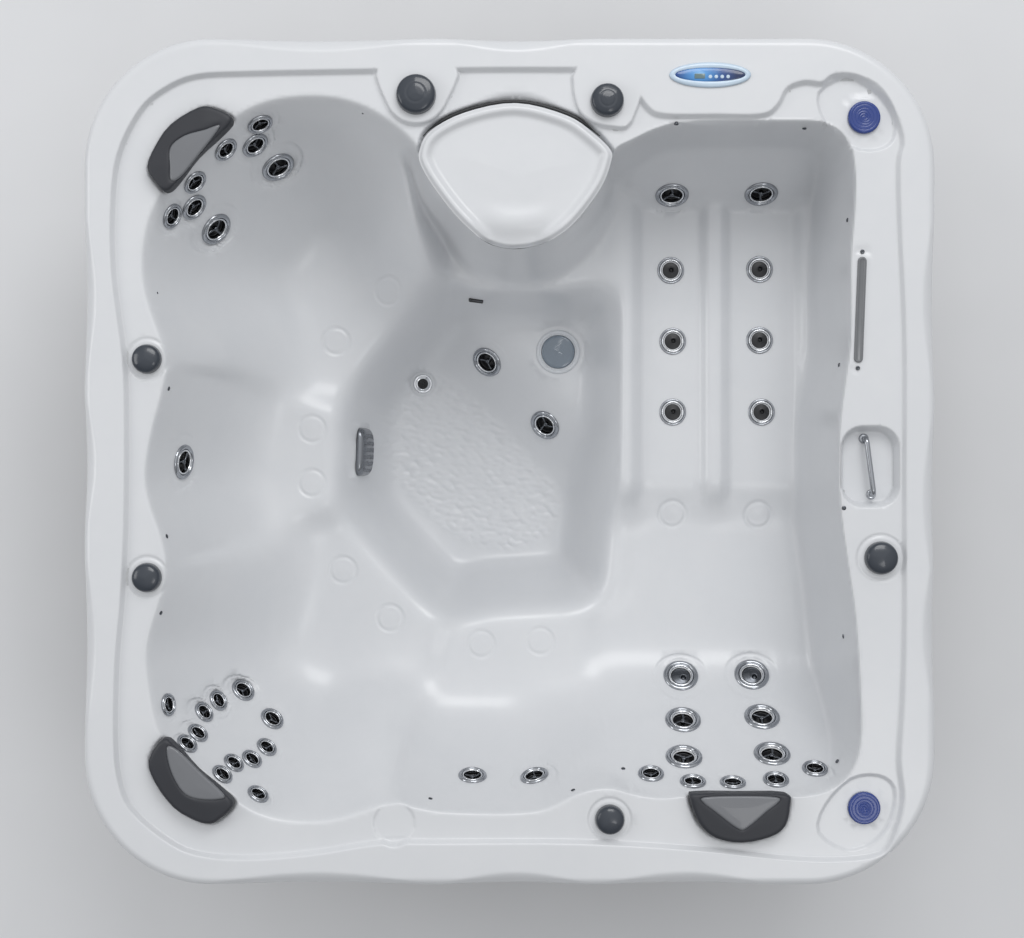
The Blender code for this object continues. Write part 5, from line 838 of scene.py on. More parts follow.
def pebbles(x, y):
    """Rippled floor: overlapping low scales round jittered places, about 36 by 20 mm each, whose sides meet
    in soft grooves and which fade out at the edge of the patch. A scale is a dome, 1 - (u^2 + v^2), and
    where scales overlap the surface is a soft maximum of them: a sum of cubes' cube root."""
    random = np.random.default_rng(7)
    low, high = PEBBLES.min(0), PEBBLES.max(0)
    rows, columns = np.meshgrid(np.arange(low[0], high[0], PEBBLE_PITCH[0]),
                                np.arange(low[1], high[1], PEBBLE_PITCH[1]), indexing="ij")
    shift = random.uniform(-0.5, 0.5, (2, *rows.shape))
    seeds_x = (rows + (shift[0] * 0.7 + 0.5 * (np.arange(rows.shape[1]) % 2)) * PEBBLE_PITCH[0]).ravel()
    seeds_y = (columns + shift[1] * 0.8 * PEBBLE_PITCH[1]).ravel()
    turns = random.uniform(-0.55, 0.35, seeds_x.size)
    heights = random.uniform(0.55, 1.0, seeds_x.size)
    inside = inside_distance(x, y, PEBBLES, 0.03)
    rise = np.zeros(x.shape)
    chosen = inside > -0.01
    px, py = x[chosen], y[chosen]
    total = np.zeros(px.shape)
    for sx, sy, turn, tall in zip(seeds_x, seeds_y, turns, heights):
        u = ((px - sx) * math.cos(turn) + (py - sy) * math.sin(turn)) / PEBBLE_HALF[0]
        v = ((py - sy) * math.cos(turn) - (px - sx) * math.sin(turn)) / PEBBLE_HALF[1]
        total += (tall * np.maximum(1 - u * u - v * v, 0)) ** 3
    rise[chosen] = PEBBLE_RISE * np.cbrt(total) * ramp(inside[chosen], -0.008, 0.03)
    return rise


def shell_fittings():
    """Seats with a hole through the shell: seat frame, half size, hole radius, and whether it is a jet."""
    fittings = []
    for group, index, size in ALL_JETS:
        radius = JET_RADIUS[size]
        fittings.append((JET_SEATS[group, index], radius, radius * JET_THROAT_RATIO + JET_CLEARANCE, True))
    for seat_frame in CAP_SEATS.values():
        fittings.append((seat_frame, CAP_RADIUS, CAP_SKIRT_RADIUS + JET_CLEARANCE, False))
    fittings.append((LIGHT_SEAT, LIGHT_RING_RADIUS, LIGHT_THROAT_RADIUS + JET_CLEARANCE, False))
    fittings.append((DRAIN_SEAT, DRAIN_RADIUS, DRAIN_THROAT_RADIUS + JET_CLEARANCE, False))
    fittings.append((FILTER_SEAT, FILTER_RADIUS + 0.012, FILTER_RADIUS + JET_CLEARANCE, False))
    return fittings


MARK_LINES = [STEP_LINE, *KNOB_PADS, *(closed_curve(shares, 3) for shares in CAP_PAD_SHARES.values())]
MARK_DISTANCES = [inside_distance(GRID_X, GRID_Y, line, 0.06) for line in MARK_LINES]
CRISP_RUN, LEAF_DROP = 0.014, 0.009


def rim_marks(x, y, distances, spread=0.0):
    """How far the rim lies below its border: the step to the shelf, the caps' leaf pads and the facets.
    A spread widens what lies low and narrows the raised pads, for the face underneath."""
    step, first, second, *leaves = distances
    marks = STEP_DROP * step_down(step + spread, (first - spread, second - spread), CRISP_RUN) + facet_cut(x, y)
    for leaf in leaves:
        marks = marks + LEAF_DROP * ramp(leaf + spread, -0.005, 0.005)
    return marks


def mark_rows():
    """Rows of places 8 mm apart beside each line of the marks, and where grid points make way for them."""
    rows, near = [], np.zeros(GRID_X.shape, bool)
    for line, distance in zip(MARK_LINES, MARK_DISTANCES):
        even = resample(line, 0.008)
        along = np.roll(even, -1, 0) - np.roll(even, 1, 0)
        along /= np.linalg.norm(along, axis=1, keepdims=True)
        aside = np.column_stack([-along[:, 1], along[:, 0]])
        for offset in (-0.0095, -0.0065, -0.0035, 0, 0.0035, 0.0065, 0.0095):
            row = even + aside * offset
            true = np.abs(sampled(distance, *row.T))
            rows.append(row[np.abs(true - abs(offset)) < 0.0006])
        near |= np.abs(distance) < 0.0125
    return np.vstack(rows), near


def shell_field():
    """The upper face on a 4 mm grid: the solids' surface, softly rounded as a moulding is, with fine marks.
    The rim's marks are left out of it and taken off afterwards, so that they stay crisp.
    The legs' channels stay crisp, the seats are smoothed most, and their edges in between."""
    x, y = GRID_X, GRID_Y
    sharp = sharp_basin(x, y, lambda field: blurred(field, 0.035))
    distance = inside_distance(x, y, BASIN)
    basin = blurred(sharp, 0.0075)
    soft = ramp(distance, .05, .15)
    legs = soft * ramp(x, .27 * HALF[0], .31 * HALF[0]) * ramp(y, -.13 * HALF[1], -.08 * HALF[1])
    basin = basin + (blurred(sharp, 0.027) - basin) * (soft - legs) + (blurred(sharp, 0.006) - basin) * legs
    marks = rim_marks(x, y, MARK_DISTANCES)
    surface = soft_min(HEIGHT - marks, basin, EDGE_BLEND)
    surface = with_pockets(x, y, surface)
    spout = box_distance(x, y, SPOUT_ENDS.mean(0), (SPOUT_LENGTH / 2 + 0.026, SPOUT_WIDTH / 2 + 0.007), 0.018,
                         SPOUT_TURN)
    surface -= 0.0024 * ramp(spout, -0.004, 0.002)
    surface = blurred(surface + marks, 0.0026) - marks
    for name, (_, _, radius) in KNOBS.items():
        middle = KNOB_SEATS[name][0]
        away = np.hypot(x - middle[0], y - middle[1])
        flat = 1 - ramp(away, radius * 1.15, radius * 1.45)
        surface = surface * (1 - flat) + middle[2] * flat
        if name.startswith("air"):
            surface -= 0.003 * ramp(-np.abs(away - radius * 1.36), -0.007, 0)
    for share in DIMPLE_SHARES:
        middle = place(share)
        away = np.hypot(x - middle[0], y - middle[1])
        surface -= 0.0022 * ramp(-np.abs(away - 0.035), -0.008, 0) - 0.0012 * (1 - ramp(away, 0.0, 0.03))
    surface += pebbles(x, y)
    free = ramp(distance, .010, .035)
    for line in PILLOW_LINES.values():
        free = free * (1 - ramp(inside_distance(x, y, line, 0.06), -0.025, -0.008))
    for seat_frame, radius, _, is_jet in shell_fittings():
        height, u, v = seat_plane(seat_frame, x, y)
        away = np.hypot(u, v)
        flat = (1 - ramp(away, radius * 1.58, radius * 1.82)) * free * (0.4 if is_jet else 0)
        weight = np.maximum(1 - ramp(away, radius * 1.12, radius * 1.40), flat)
        surface = surface * (1 - weight) + height * weight
    for seat_frame, half_u, half_v in ((SUCTION_SEAT, SUCTION_HALF_WIDTH, SUCTION_HALF_HEIGHT),
                                       (PANEL_SEAT, PANEL_HALF_LENGTH, PANEL_HALF_WIDTH),
                                       (SPOUT_SEAT, SPOUT_LENGTH / 2, SPOUT_WIDTH / 2)):
        height, u, v = seat_plane(seat_frame, x, y)
        away = np.maximum(np.abs(u) - half_u, np.abs(v) - half_v)
        weight = 1 - ramp(away, 0.003, 0.014)
        surface = surface * (1 - weight) + height * weight
    return surface + marks


def outer_ring(inset, spacing):
    """The rounded square, inset by a distance: corners of 28 steps and even straight sides."""
    corners = []
    for index, (sx, sy) in enumerate(((1, 1), (-1, 1), (-1, -1), (1, -1))):
        angle = math.pi / 2 * (index + np.arange(29) / 28)
        corners.append(np.stack([sx * (HALF[0] - CORNER_RADIUS) + (CORNER_RADIUS - inset) * np.cos(angle),
                                 sy * (HALF[1] - CORNER_RADIUS) + (CORNER_RADIUS - inset) * np.sin(angle)], 1))
    points = []
    for corner, after in zip(corners, corners[1:] + corners[:1]):
        count = int(np.linalg.norm(after[0] - corner[-1]) / spacing)
        t = (np.arange(1, count + 1) / (count + 1))[:, None]
        points += [corner, corner[-1] * (1 - t) + after[0] * t]
    return np.vstack(points)


def fine_places():
    """Grid points that the upper face keeps whatever its bend: the pebbles, the dimples and the knobs' pads."""
    fine = inside_distance(GRID_X, GRID_Y, PEBBLES, 0.03) > -0.012
    for share, reach in [(share, 0.048) for share in DIMPLE_SHARES] + [(BLANK_SHARE, 0.062)] + [
            (knob[:2], knob[2] * 1.65) for name, knob in KNOBS.items() if name.startswith("air")]:
        middle = place(share)
        fine |= np.hypot(GRID_X - middle[0], GRID_Y - middle[1]) < reach
    return fine


LIP_RINGS = (0, 0.0013, 0.0026, LIP_DRAFT, 0.0055, 0.0075, 0.010, 0.0135, 0.017, 0.021, 0.0255, 0.030, 0.0345, 0.039,
             0.0435)


def shell_sheet(field, limits):
    """One face of the shell: a Delaunay net over grid points that crowd where the surface bends, rings
    down the lip and rings round every hole. Limits are the bends from which points come 8, 5.7 and 4 mm
    apart, whether the fine places keep all of theirs, and the marks' spread. Returns points, normals,
    faces, and the loops of point numbers along its open edges."""
    inset = box_distance(GRID_X, GRID_Y, (0, 0), HALF, CORNER_RADIUS)
    slope_x, slope_y = np.gradient(blurred(field, 0.004), CELL)
    upright = 1 / np.sqrt(1 + slope_x ** 2 + slope_y ** 2)
    bend = np.abs(field - blurred(field, 0.005)) * upright
    wide = np.abs(field - blurred(field, 0.011)) * upright
    i, j = np.meshgrid(np.arange(len(AXIS)), np.arange(len(AXIS)), indexing="ij")
    keep = (i % 4 == 0) & (j % 4 == 0)
    if not limits[3]:
        keep &= (wide > 0.0008) | ((i % 8 == 0) & (j % 8 == 0))
    keep |= (i % 2 == 0) & (j % 2 == 0) & (wide > limits[0])
    keep |= ((i + j) % 2 == 0) & (bend > limits[1])
    keep |= bend > limits[2]
    keep |= fine_places() & limits[3]
    keep &= inset > LIP_RINGS[-1] + 0.002
    fittings = shell_fittings()
    for seat_frame, radius, _, is_jet in fittings:
        _, u, v = seat_plane(seat_frame, GRID_X, GRID_Y)
        keep &= np.hypot(u, v) > radius * (1.95 if is_jet and limits[3] else 1.18)
    spots = [outer_ring(inset_, 0.014) for inset_ in LIP_RINGS]
    rim_count = len(spots[0])
    if limits[3]:
        rows, near = mark_rows()
        keep &= ~near
        for seat_frame, radius, _, _ in fittings:
            _, u, v = seat_plane(seat_frame, *rows.T)
            rows = rows[np.hypot(u, v) > radius * 1.18]
        spots.append(rows)
    spots.append(np.stack([GRID_X[keep], GRID_Y[keep]], 1))
    exact, loops = [], [np.arange(rim_count)]
    for seat_frame, radius, _, is_jet in fittings:
        if is_jet and limits[3]:
            for share in (1.30, 1.50, 1.61, 1.71, 1.84):
                angle = np.arange(30) / 30 * 2 * math.pi
                halo = on_seat(seat_frame, radius * share * np.cos(angle), radius * share * np.sin(angle), 0 * angle)
                clear = box_distance(halo[:, 0], halo[:, 1], (0, 0), HALF, CORNER_RADIUS) > LIP_RINGS[-1]
                for other, other_radius, _, _ in fittings:
                    _, u, v = seat_plane(other, halo[:, 0], halo[:, 1])
                    clear &= np.hypot(u, v) > other_radius * 1.18
                spots.append(halo[clear, :2])
    exact_from = total = sum(len(s) for s in spots)
    for seat_frame, radius, hole, _ in fittings:
        count = 32 if radius < 0.08 else 64
        angle = (np.arange(count) + 0.5) / count * 2 * math.pi
        for order, ring_radius in enumerate((hole, radius * 0.85, radius * 1.02, radius * 1.12)):
            flat = on_seat(seat_frame, ring_radius * np.cos(angle), ring_radius * np.sin(angle), 0 * angle)
            free = np.ones(count, bool)
            if order:
                for other, other_radius, _, _ in fittings:
                    if other is not seat_frame:
                        _, u, v = seat_plane(other, flat[:, 0], flat[:, 1])
                        free &= np.hypot(u, v) > other_radius * (1.0 + 0.12 * (order == 3))
            else:
                loops.append(total + np.arange(count))
            flat = flat[free]
            exact.append((flat, np.repeat(seat_frame[1][2][None], len(flat), 0)))
            spots.append(flat[:, :2])
            total += len(flat)
    spots = np.vstack(spots)
    _, _, faces, origins, _, _ = geometry.delaunay_2d_cdt([Vector(p) for p in spots], [], [], 0, 1e-7, True)
    source = np.array([found[0] for found in origins])
    faces = source[np.array(faces)]
    x, y = spots.T

    def height_at(px, py):
        height = (sampled(field, px, py) - lip_fall(px, py)
                  - rim_marks(px, py, [sampled(distance, px, py) for distance in MARK_DISTANCES], limits[4]))
        inside = box_distance(px, py, (0, 0), HALF, CORNER_RADIUS)
        return np.where(inside < LIP_RADIUS, np.maximum(height, HEIGHT - LIP_DROP + inside / 2), height)

    step = 0.0015
    z = height_at(x, y)
    normal = np.stack([height_at(x - step, y) - height_at(x + step, y),
                       height_at(x, y - step) - height_at(x, y + step), np.full(len(x), 2 * step)], 1)
    z[exact_from:] = np.concatenate([flat[:, 2] for flat, _ in exact])
    normal[exact_from:] = np.vstack([upward for _, upward in exact])
    core = np.clip(spots[:rim_count], CORNER_RADIUS - HALF, HALF - CORNER_RADIUS)
    away = (spots[:rim_count] - core) / CORNER_RADIUS
    z[:rim_count] = HEIGHT - LIP_DROP
    normal[:rim_count] = np.column_stack([away, np.full(rim_count, 0.02)])
    normal /= np.linalg.norm(normal, axis=1, keepdims=True)
    a, b, c = (spots[faces[:, k]] for k in range(3))
    area = (b[:, 0] - a[:, 0]) * (c[:, 1] - a[:, 1]) - (b[:, 1] - a[:, 1]) * (c[:, 0] - a[:, 0])
    faces[area < 0] = faces[area < 0][:, ::-1]
    owner = np.full(len(x), -1)
    for number, loop in enumerate(loops[1:]):
        owner[loop] = number
    owner = owner[faces]
    in_hole = (owner[:, 0] >= 0) & (owner[:, 0] == owner[:, 1]) & (owner[:, 1] == owner[:, 2])
    return np.column_stack([spots, z]), normal, faces[~in_hole & (np.abs(area) > 1e-12)], loops


def shell_mesh(field):
    """The shell: its upper sheet, the smoothed surface one wall lower along its normals, and the walls
    that join them along the lip and in the holes."""
    upper, normal, faces, loops = shell_sheet(field, (0.0010, 0.00095, 0.0013, True, 0.0))
    soft, soft_normal, soft_faces, soft_loops = shell_sheet(blurred(field, 0.005), (0.0035, 0.006, 0.01, False, 0.009))
    rim_count = len(loops[0])
    soft_normal[:rim_count, 2] = 0
    lower = soft - soft_normal * SHELL_WALL
    walls = []
    for loop, soft_loop in zip(loops, soft_loops):
        a, b = loop, soft_loop + len(upper)
        quad = np.column_stack([a, np.roll(a, -1), np.roll(b, -1), b])
        walls += (quad[:, ::-1] if loop is loops[0] else quad).tolist()
    all_faces = faces.tolist() + (soft_faces[:, ::-1] + len(upper)).tolist() + walls
    return np.vstack([upper, lower]), all_faces, np.vstack([normal, -soft_normal]), len(upper)


FIELD = shell_field()
SHELL_POINTS, SHELL_FACES, SHELL_NORMALS, UPPER_COUNT = shell_mesh(FIELD)
shell = piece("shell_moulding", SHELL_POINTS, SHELL_FACES, "acrylic", "acrylic", stands_for=("shell",),
              normals=SHELL_NORMALS)
backing = shell.data.attributes.new("backing", "FLOAT", "POINT")
backing.data.foreach_set("value", np.repeat([0.0, 1.0], [UPPER_COUNT, len(SHELL_POINTS) - UPPER_COUNT]))
print("shell", UPPER_COUNT, "upper points,", len(SHELL_POINTS), "points,", sum(len(face) - 2 for face in SHELL_FACES), "triangles")

# Jets

JET_RING = ((1.0, 0), (.997, .0014), (.985, .0030), (.955, .0044), (.915, .0054), (.87, .0059), (.825, .0058),
            (.785, .0050), (.76, .0036), (.745, .0022), (.735, .0016), (.725, .0005), (.725, -.003), (.74, -.003),
            (.74, 0))
JET_INNER = ((.724, .0004), (.72, .0020), (.705, .0034), (.685, .0041), (.66, .0043), (.635, .0040), (.612, .0030),
             (.598, .0012), (.594, -.002), (.592, -.009), (.607, -.009), (.607, .0002))
LEG_RING = ((1.0, 0), (.995, .0014), (.975, .0028), (.94, .0037), (.90, .0039), (.865, .0033), (.848, .0018),
            (.838, .0005), (.838, -.003), (.85, -.003), (.85, 0))
LEG_INNER = ((.836, .0004), (.83, .0026), (.812, .0044), (.785, .0055), (.75, .0059), (.715, .0055), (.685, .0043),
             (.66, .002), (.65, -.002), (.645, -.009), (.66, -.009), (.66, .0002))
JET_BOWL = ((0, -.026), (.20, -.0255), (.40, -.023), (.52, -.017), (.575, -.010), (.60, -.0082), (.612, -.0085),
            (.612, -.040), (.50, -.046), (.50, -JET_BODY_DEPTH), (0, -JET_BODY_DEPTH))


def spoked_rotor(seat_frame, radius, vanes=3, turn=0.4, drop=-0.004):
    """A hub and twisted vanes between it and the jet's inner ring."""
    parts = [turned(seat_frame, [(0, drop + .004), (radius * .10, drop + .0036), (radius * .16, drop + .001),
                                 (radius * .17, drop - .006), (radius * .10, drop - .012), (0, drop - .012)], 16)]
    for index in range(vanes):
        angle = turn + index * 2 * math.pi / vanes
        t = np.linspace(0.10, 0.585, 8)
        bend = angle + 0.5 * (t - 0.1)
        path = on_seat(seat_frame, radius * t * np.cos(bend), radius * t * np.sin(bend), drop + 0 * t)
        parts.append(tube(path, radius * (0.055 + 0.05 * (t - .1)), 8, flat=0.8))
    return parts


def eyeball(seat_frame, radius, offset, drop=-0.003):
    """A domed insert with a round eye off its middle."""
    def dent(r, h, a):
        u, v = r * np.cos(a) - offset[0] * radius, r * np.sin(a) - offset[1] * radius
        away = np.hypot(u, v) / radius
        return r, h - 0.010 * (1 - ramp(away, .11, .17)) + 0.0012 * ramp(-np.abs(away - .20), -.05, 0)
    steps = np.linspace(0, 0.585, 16)
    profile = [(radius * s, drop + 0.004 * math.cos(s * 2.2)) for s in steps]
    profile += [(radius * .585, drop - .012), (radius * .4, drop - .016), (0, drop - .016)]
    return turned(seat_frame, profile, 40, dent)


def scaled(profile, radius, lift=GAP):
    return [(radius * share, height + lift) for share, height in profile]


for group, jets in JETS.items():
    rings, inner_rings, bowls, inserts = [], [], [], []
    tails = []
    for index, (_, _, size) in enumerate(jets):
        seat_frame, radius = JET_SEATS[group, index], JET_RADIUS[size]
        wide = radius * (1.10 if group == "jets_lounger_back" else 1.05)
        legs = group == "jets_lounger_legs"
        rings.append(turned(seat_frame, scaled(LEG_RING if legs else JET_RING, wide), 48, ring=True))
        inner_rings.append(turned(seat_frame, scaled(LEG_INNER if legs else JET_INNER, wide), 48, ring=True))
        bowls.append(turned(seat_frame, scaled(JET_BOWL, radius * (1.09 if legs else 1.0)), 24))
        tails.append(seat_frame[0] + seat_frame[1][2] * (PIPE_RADIUS - JET_BODY_DEPTH))
        if (group, index) in TURNING_JETS:
            node = TURNING_JETS[group, index]
            points, faces = join(spoked_rotor(seat_frame, radius, 3, 0.4 + index, 0.0005))
            outward(piece(node + "_rotor", points, faces, "dark_metal", "chrome", node, (node,)))
        elif legs:
            inserts.append(eyeball(seat_frame, radius * 1.09, (0.05, 0.03)))
        elif group == "jets_lounger_back" and index < 2:
            inserts.append(eyeball(seat_frame, radius, (0.16, -0.12)))
        else:
            inserts += spoked_rotor(seat_frame, radius, 3, 0.4 + index)
    if len(tails) == 1:
        tails.append(tails[0] - np.array([0, 0, JET_BODY_DEPTH]))
    for start, end in zip(tails, tails[1:]):
        t = np.linspace(0, 1, 5)[:, None]
        bowls.append(tube(start * (1 - t) + end * t, PIPE_RADIUS, 10))
    # Outer rings in the darkened chrome, inner rings in its lighter copy: lit and shaded copies of one chrome face,
    # painted reflection.
    outward(piece(group + "_rings", *join(rings), "chrome", "chrome", stands_for=(group,)))
    outward(piece(group + "_inner_rings", *join(inner_rings), "bright_metal", "chrome"))
    outward(piece(group + "_bodies", *join(bowls), "black_plastic", "black_plastic"))
    if inserts:
        outward(piece(group + "_rotors", *join(inserts), "dark_metal" if group != "jets_lounger_legs"
                      else "black_plastic", "chrome"))

# Knobs, caps, panel


def knob_shape(radius, facets, slope):
    """Three flat facets that meet in the middle of the dome and fade out at its edge."""
    def shape(r, h, a):
        turn = np.mod(a + facets, 2 * math.pi / 3) - math.pi / 3
        inner = 1 - ramp(r / radius, 0.70, 0.95)
        top = h > GAP + 0.55 * KNOB_HEIGHT
        return r, h - np.where(top, slope * r * np.cos(turn) * inner, 0)
    return shape


for number, (name, (_, _, radius)) in enumerate(KNOBS.items()):
    dome = [(0, 1.0), (.15, .995), (.30, .985), (.42, .972), (.46, .945), (.50, .965), (.62, .93), (.74, .87),
            (.84, .79), (.91, .69), (.955, .56), (.98, .40), (.99, .22), (1.0, .08), (1.0, .0), (.94, -.0),
            (.4, 0)] if name.startswith("diverter") else \
           [(0, 1.0), (.12, .995), (.25, .985), (.40, .965), (.55, .93), (.68, .88), (.78, .81), (.86, .72),
            (.92, .60), (.96, .44), (.985, .26), (1.0, .08), (1.0, 0), (.94, -.0), (.4, 0)]
    profile = [(radius * share, GAP + KNOB_HEIGHT * rise) for share, rise in dome]
    profile += [(0.0119, GAP), (0.0119, -0.020), (0, -0.020)]
    outward(piece(name + "_dome", *turned(KNOB_SEATS[name], profile, 72, knob_shape(radius, 0.5 + number, 0.07)),
                  "grey_plastic", "grey_plastic", name, (name,)))

for name in CAPS:
    def swirl(r, h, a):
        """Round grooves and a spiral in the middle of the cap's top."""
        share = r / CAP_RADIUS
        top = h > GAP + 0.5 * CAP_HEIGHT
        spiral = np.cos(2 * math.pi * (share / 0.16) - 2 * a) * (1 - ramp(share, .38, .46))
        groove = ramp(-np.abs(share - .56), -.03, 0) + ramp(-np.abs(share - .78), -.03, 0)
        return r, h - np.where(top, 0.0008 * groove + 0.0005 * spiral * ramp(share, .03, .10), 0)
    shares = np.linspace(0.03, 0.90, 44)
    profile = [(0, GAP + CAP_HEIGHT * .86)]
    profile += [(CAP_RADIUS * s, GAP + CAP_HEIGHT * (.86 + .12 * math.sin(s * 1.7))) for s in shares]
    profile += [(CAP_RADIUS * s, GAP + CAP_HEIGHT * r) for s, r in
                ((.94, .92), (.97, .82), (.99, .66), (1.0, .48), (1.0, .0))]
    profile += [(CAP_SKIRT_RADIUS, GAP), (CAP_SKIRT_RADIUS, -CAP_SKIRT_DEPTH), (0, -CAP_SKIRT_DEPTH)]
    outward(piece(name + "_disc", *turned(CAP_SEATS[name], profile, 80, swirl), "blue_plastic", "blue_plastic",
                  name, (name,)))

OVAL = PANEL_HALF_WIDTH / PANEL_HALF_LENGTH


def oval_shape(r, h, a):
    """Turns the circles of a profile into ovals with slightly full ends."""
    full = 1 + 0.035 * np.sin(2 * a) ** 2
    return r * full * np.sqrt(np.cos(a) ** 2 + (OVAL * np.sin(a)) ** 2) / np.sqrt(
        np.cos(a) ** 2 + np.sin(a) ** 2), h


def oval_piece(profile, segments=96):
    """A profile of (half length, height) carried round an oval: x = r cos(a), y = r * ratio * sin(a)."""
    profile = np.array(profile, float)
    angle = (np.arange(segments) + 0.5) / segments * 2 * math.pi
    radius, height = profile[:, 0][:, None], profile[:, 1][:, None] + 0 * angle
    shrink = PANEL_HALF_LENGTH - radius
    u = (PANEL_HALF_LENGTH - shrink) * np.cos(angle)
    v = (PANEL_HALF_WIDTH - np.minimum(shrink, PANEL_HALF_WIDTH * 0.999)) * np.sin(angle)
    points = on_seat(PANEL_SEAT, u, v, height)
    return points.reshape(-1, 3), [tuple(f) for f in sheet_faces(len(profile), segments, False, True)] + [
        tuple(range(segments))[::-1], tuple(range((len(profile) - 1) * segments, len(profile) * segments))]


top = GAP + PANEL_HEIGHT
outward(piece("control_panel_bezel", *oval_piece([
    (.072, -.030), (.072, GAP), (.1, GAP), (.1, GAP + .003), (.0985, top - .002), (.0965, top - .0008),
    (.0935, top), (.0885, top), (.0865, top - .0008), (.0855, top - .002)]), "bezel", "white_plastic",
    stands_for=("control_panel",)))
outward(piece("control_panel_face", *oval_piece([
    (.080, top - .0035), (.0855, top - .0034), (.0862, top - .0018), (.0845, top - .0006), (.080, top - .0001),
    (.0735, top + .0002), (.0715, top + .0003)]), "panel_blue", "panel_blue"))


def slab_on(seat_frame, half_u, half_v, corner, levels, middle=(0, 0), per_corner=8):
    """A rounded rectangle carried through levels of (inset, height), with flat ends."""
    angle = np.concatenate([math.pi / 2 * (k + np.arange(per_corner) / (per_corner - 1)) for k in range(4)])
    su = np.repeat([1, -1, -1, 1], per_corner)
    sv = np.repeat([1, 1, -1, -1], per_corner)
    rings = []
    for inset, height in levels:
        radius = max(corner - inset, 0.0002)
        u = middle[0] + su * (half_u - inset - radius) + radius * np.cos(angle)
        v = middle[1] + sv * (half_v - inset - radius) + radius * np.sin(angle)
        rings.append(on_seat(seat_frame, u, v, np.full(len(u), height)))
    count = len(angle)
    faces = [tuple(f) for f in sheet_faces(len(levels), count, False, True)]
    faces += [tuple(range(count))[::-1], tuple(range((len(levels) - 1) * count, len(levels) * count))]
    return np.vstack(rings), faces


outward(piece("panel_display", *slab_on(PANEL_SEAT, .013, .0062, .002, [
    (.001, top - .001), (0, top), (.0004, top + .0009), (.0012, top + .0011)], (-.026, -.004)), "display",
    "panel_blue"))
for index in range(4):
    name = f"panel_button_{index + 1}"
    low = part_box(name)[0].z - PANEL_SEAT[0][2]
    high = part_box(name)[1].z - PANEL_SEAT[0][2]
    profile = [(0, high - .0004), (.0012, high - .0003), (.0024, high), (.0036, high - .0002),
               (.0046, high - .0008), (.0053, high - .002), (.0055, low + .001), (.0055, low), (0, low)]
    outward(piece(name + "_cap", *turned(PANEL_SEAT, profile, 32, offset=(BUTTON_PITCH * index, BUTTON_OFFSET)),
                  "bezel", "white_plastic", name, (name,)))

# Waterfall, rail, light, suction, drain

outward(piece("waterfall_bar", *slab_on(SPOUT_SEAT, SPOUT_LENGTH / 2, SPOUT_WIDTH / 2, SPOUT_WIDTH / 2, [
    (.002, GAP), (0, GAP + .0008), (0, GAP + .0028), (.0012, GAP + .0042), (.0032, GAP + .0048),
    (.0045, GAP + .0048), (.0058, GAP + .0030), (.0064, GAP + .0026)]), "spout_plastic", "grey_plastic",
    stands_for=("waterfall_spout",)))
screws = [turned(SPOUT_SEAT, [(0, .0012), (.0016, .0012), (.0020, .0024), (.0042, .0026), (.0052, .0016),
                              (.0054, .0), (0, .0)], 24, offset=(side * (SPOUT_LENGTH / 2 + .013), 0))
          for side in (-1, 1)]
outward(piece("waterfall_screws", *join(screws), "dark_metal", "chrome"))

centre = place(RAIL_POCKET_SHARE)
floor_height = HEIGHT - RAIL_POCKET_DROP + GAP
rail_top, half_span = floor_height + RAIL_RISE, RAIL_SPAN / 2
bend = np.linspace(0, math.pi / 2, 9)
arc_v = half_span - RAIL_BEND + RAIL_BEND * np.cos(bend)
arc_z = rail_top - RAIL_BEND + RAIL_BEND * np.sin(bend)
path_v = np.concatenate([[half_span, half_span], arc_v, np.linspace(arc_v[-1], -arc_v[-1], 9)[1:-1],
                         -arc_v[::-1], [-half_span, -half_span]])
path_z = np.concatenate([[floor_height, floor_height + .006], arc_z, np.full(7, rail_top), arc_z[::-1],
                         [floor_height + .006, floor_height]])
rail_frame = (np.array([centre[0], centre[1], 0.0]),
              np.array([[math.cos(RAIL_TURN), math.sin(RAIL_TURN), 0],
                        [-math.sin(RAIL_TURN), math.cos(RAIL_TURN), 0], [0, 0, 1.0]]))
rail_parts = [tube(on_seat(rail_frame, 0 * path_v, path_v, path_z), RAIL_RADIUS, 24)]
for side in (-1, 1):
    rail_parts.append(turned(rail_frame, [(0, floor_height + .004), (.008, floor_height + .004),
                                          (.0112, floor_height + .0028), (.0125, floor_height + .001),
                                          (.0125, floor_height), (0, floor_height)], 32,
                             offset=(0, side * half_span)))
outward(piece("grab_rail_bar", *join(rail_parts), "chrome", "chrome", stands_for=("grab_rail",)))

seat_height = GAP + JET_FLANGE * .4
outward(piece("light_ring", *turned(LIGHT_SEAT, [
    (LIGHT_RING_RADIUS, GAP), (LIGHT_RING_RADIUS, GAP + .0022), (.0605, GAP + .0042), (.058, GAP + .0056),
    (.0555, GAP + .0060), (.0532, GAP + .0054), (.0525, GAP + .0040), (.0512, GAP + .0040), (.0505, GAP + .0056),
    (.049, GAP + .0060), (.0478, GAP + .0055), (.0475, seat_height), (.033, seat_height), (.033, -.043),
    (.0398, -.050), (.0398, GAP)], 64, ring=True), "white_plastic", "white_plastic",
    stands_for=("light_housing",)))


def fan(r, h, a):
    """A lens cut in four quarters: straight ribs along and across by turns."""
    quarter = np.floor(np.mod(a + 0.4, 2 * math.pi) / (math.pi / 2))
    along = np.where(quarter % 2 == 0, r * np.cos(a + 0.4), r * np.sin(a + 0.4))
    ribs = np.abs(np.mod(along / 0.0042, 1) - 0.5) * 2
    top_face = h > seat_height + LIGHT_LENS_HEIGHT * .3
    return r, h - np.where(top_face, 0.0006 * ribs * (1 - ramp(r / LIGHT_LENS_RADIUS, .80, .86)), 0)


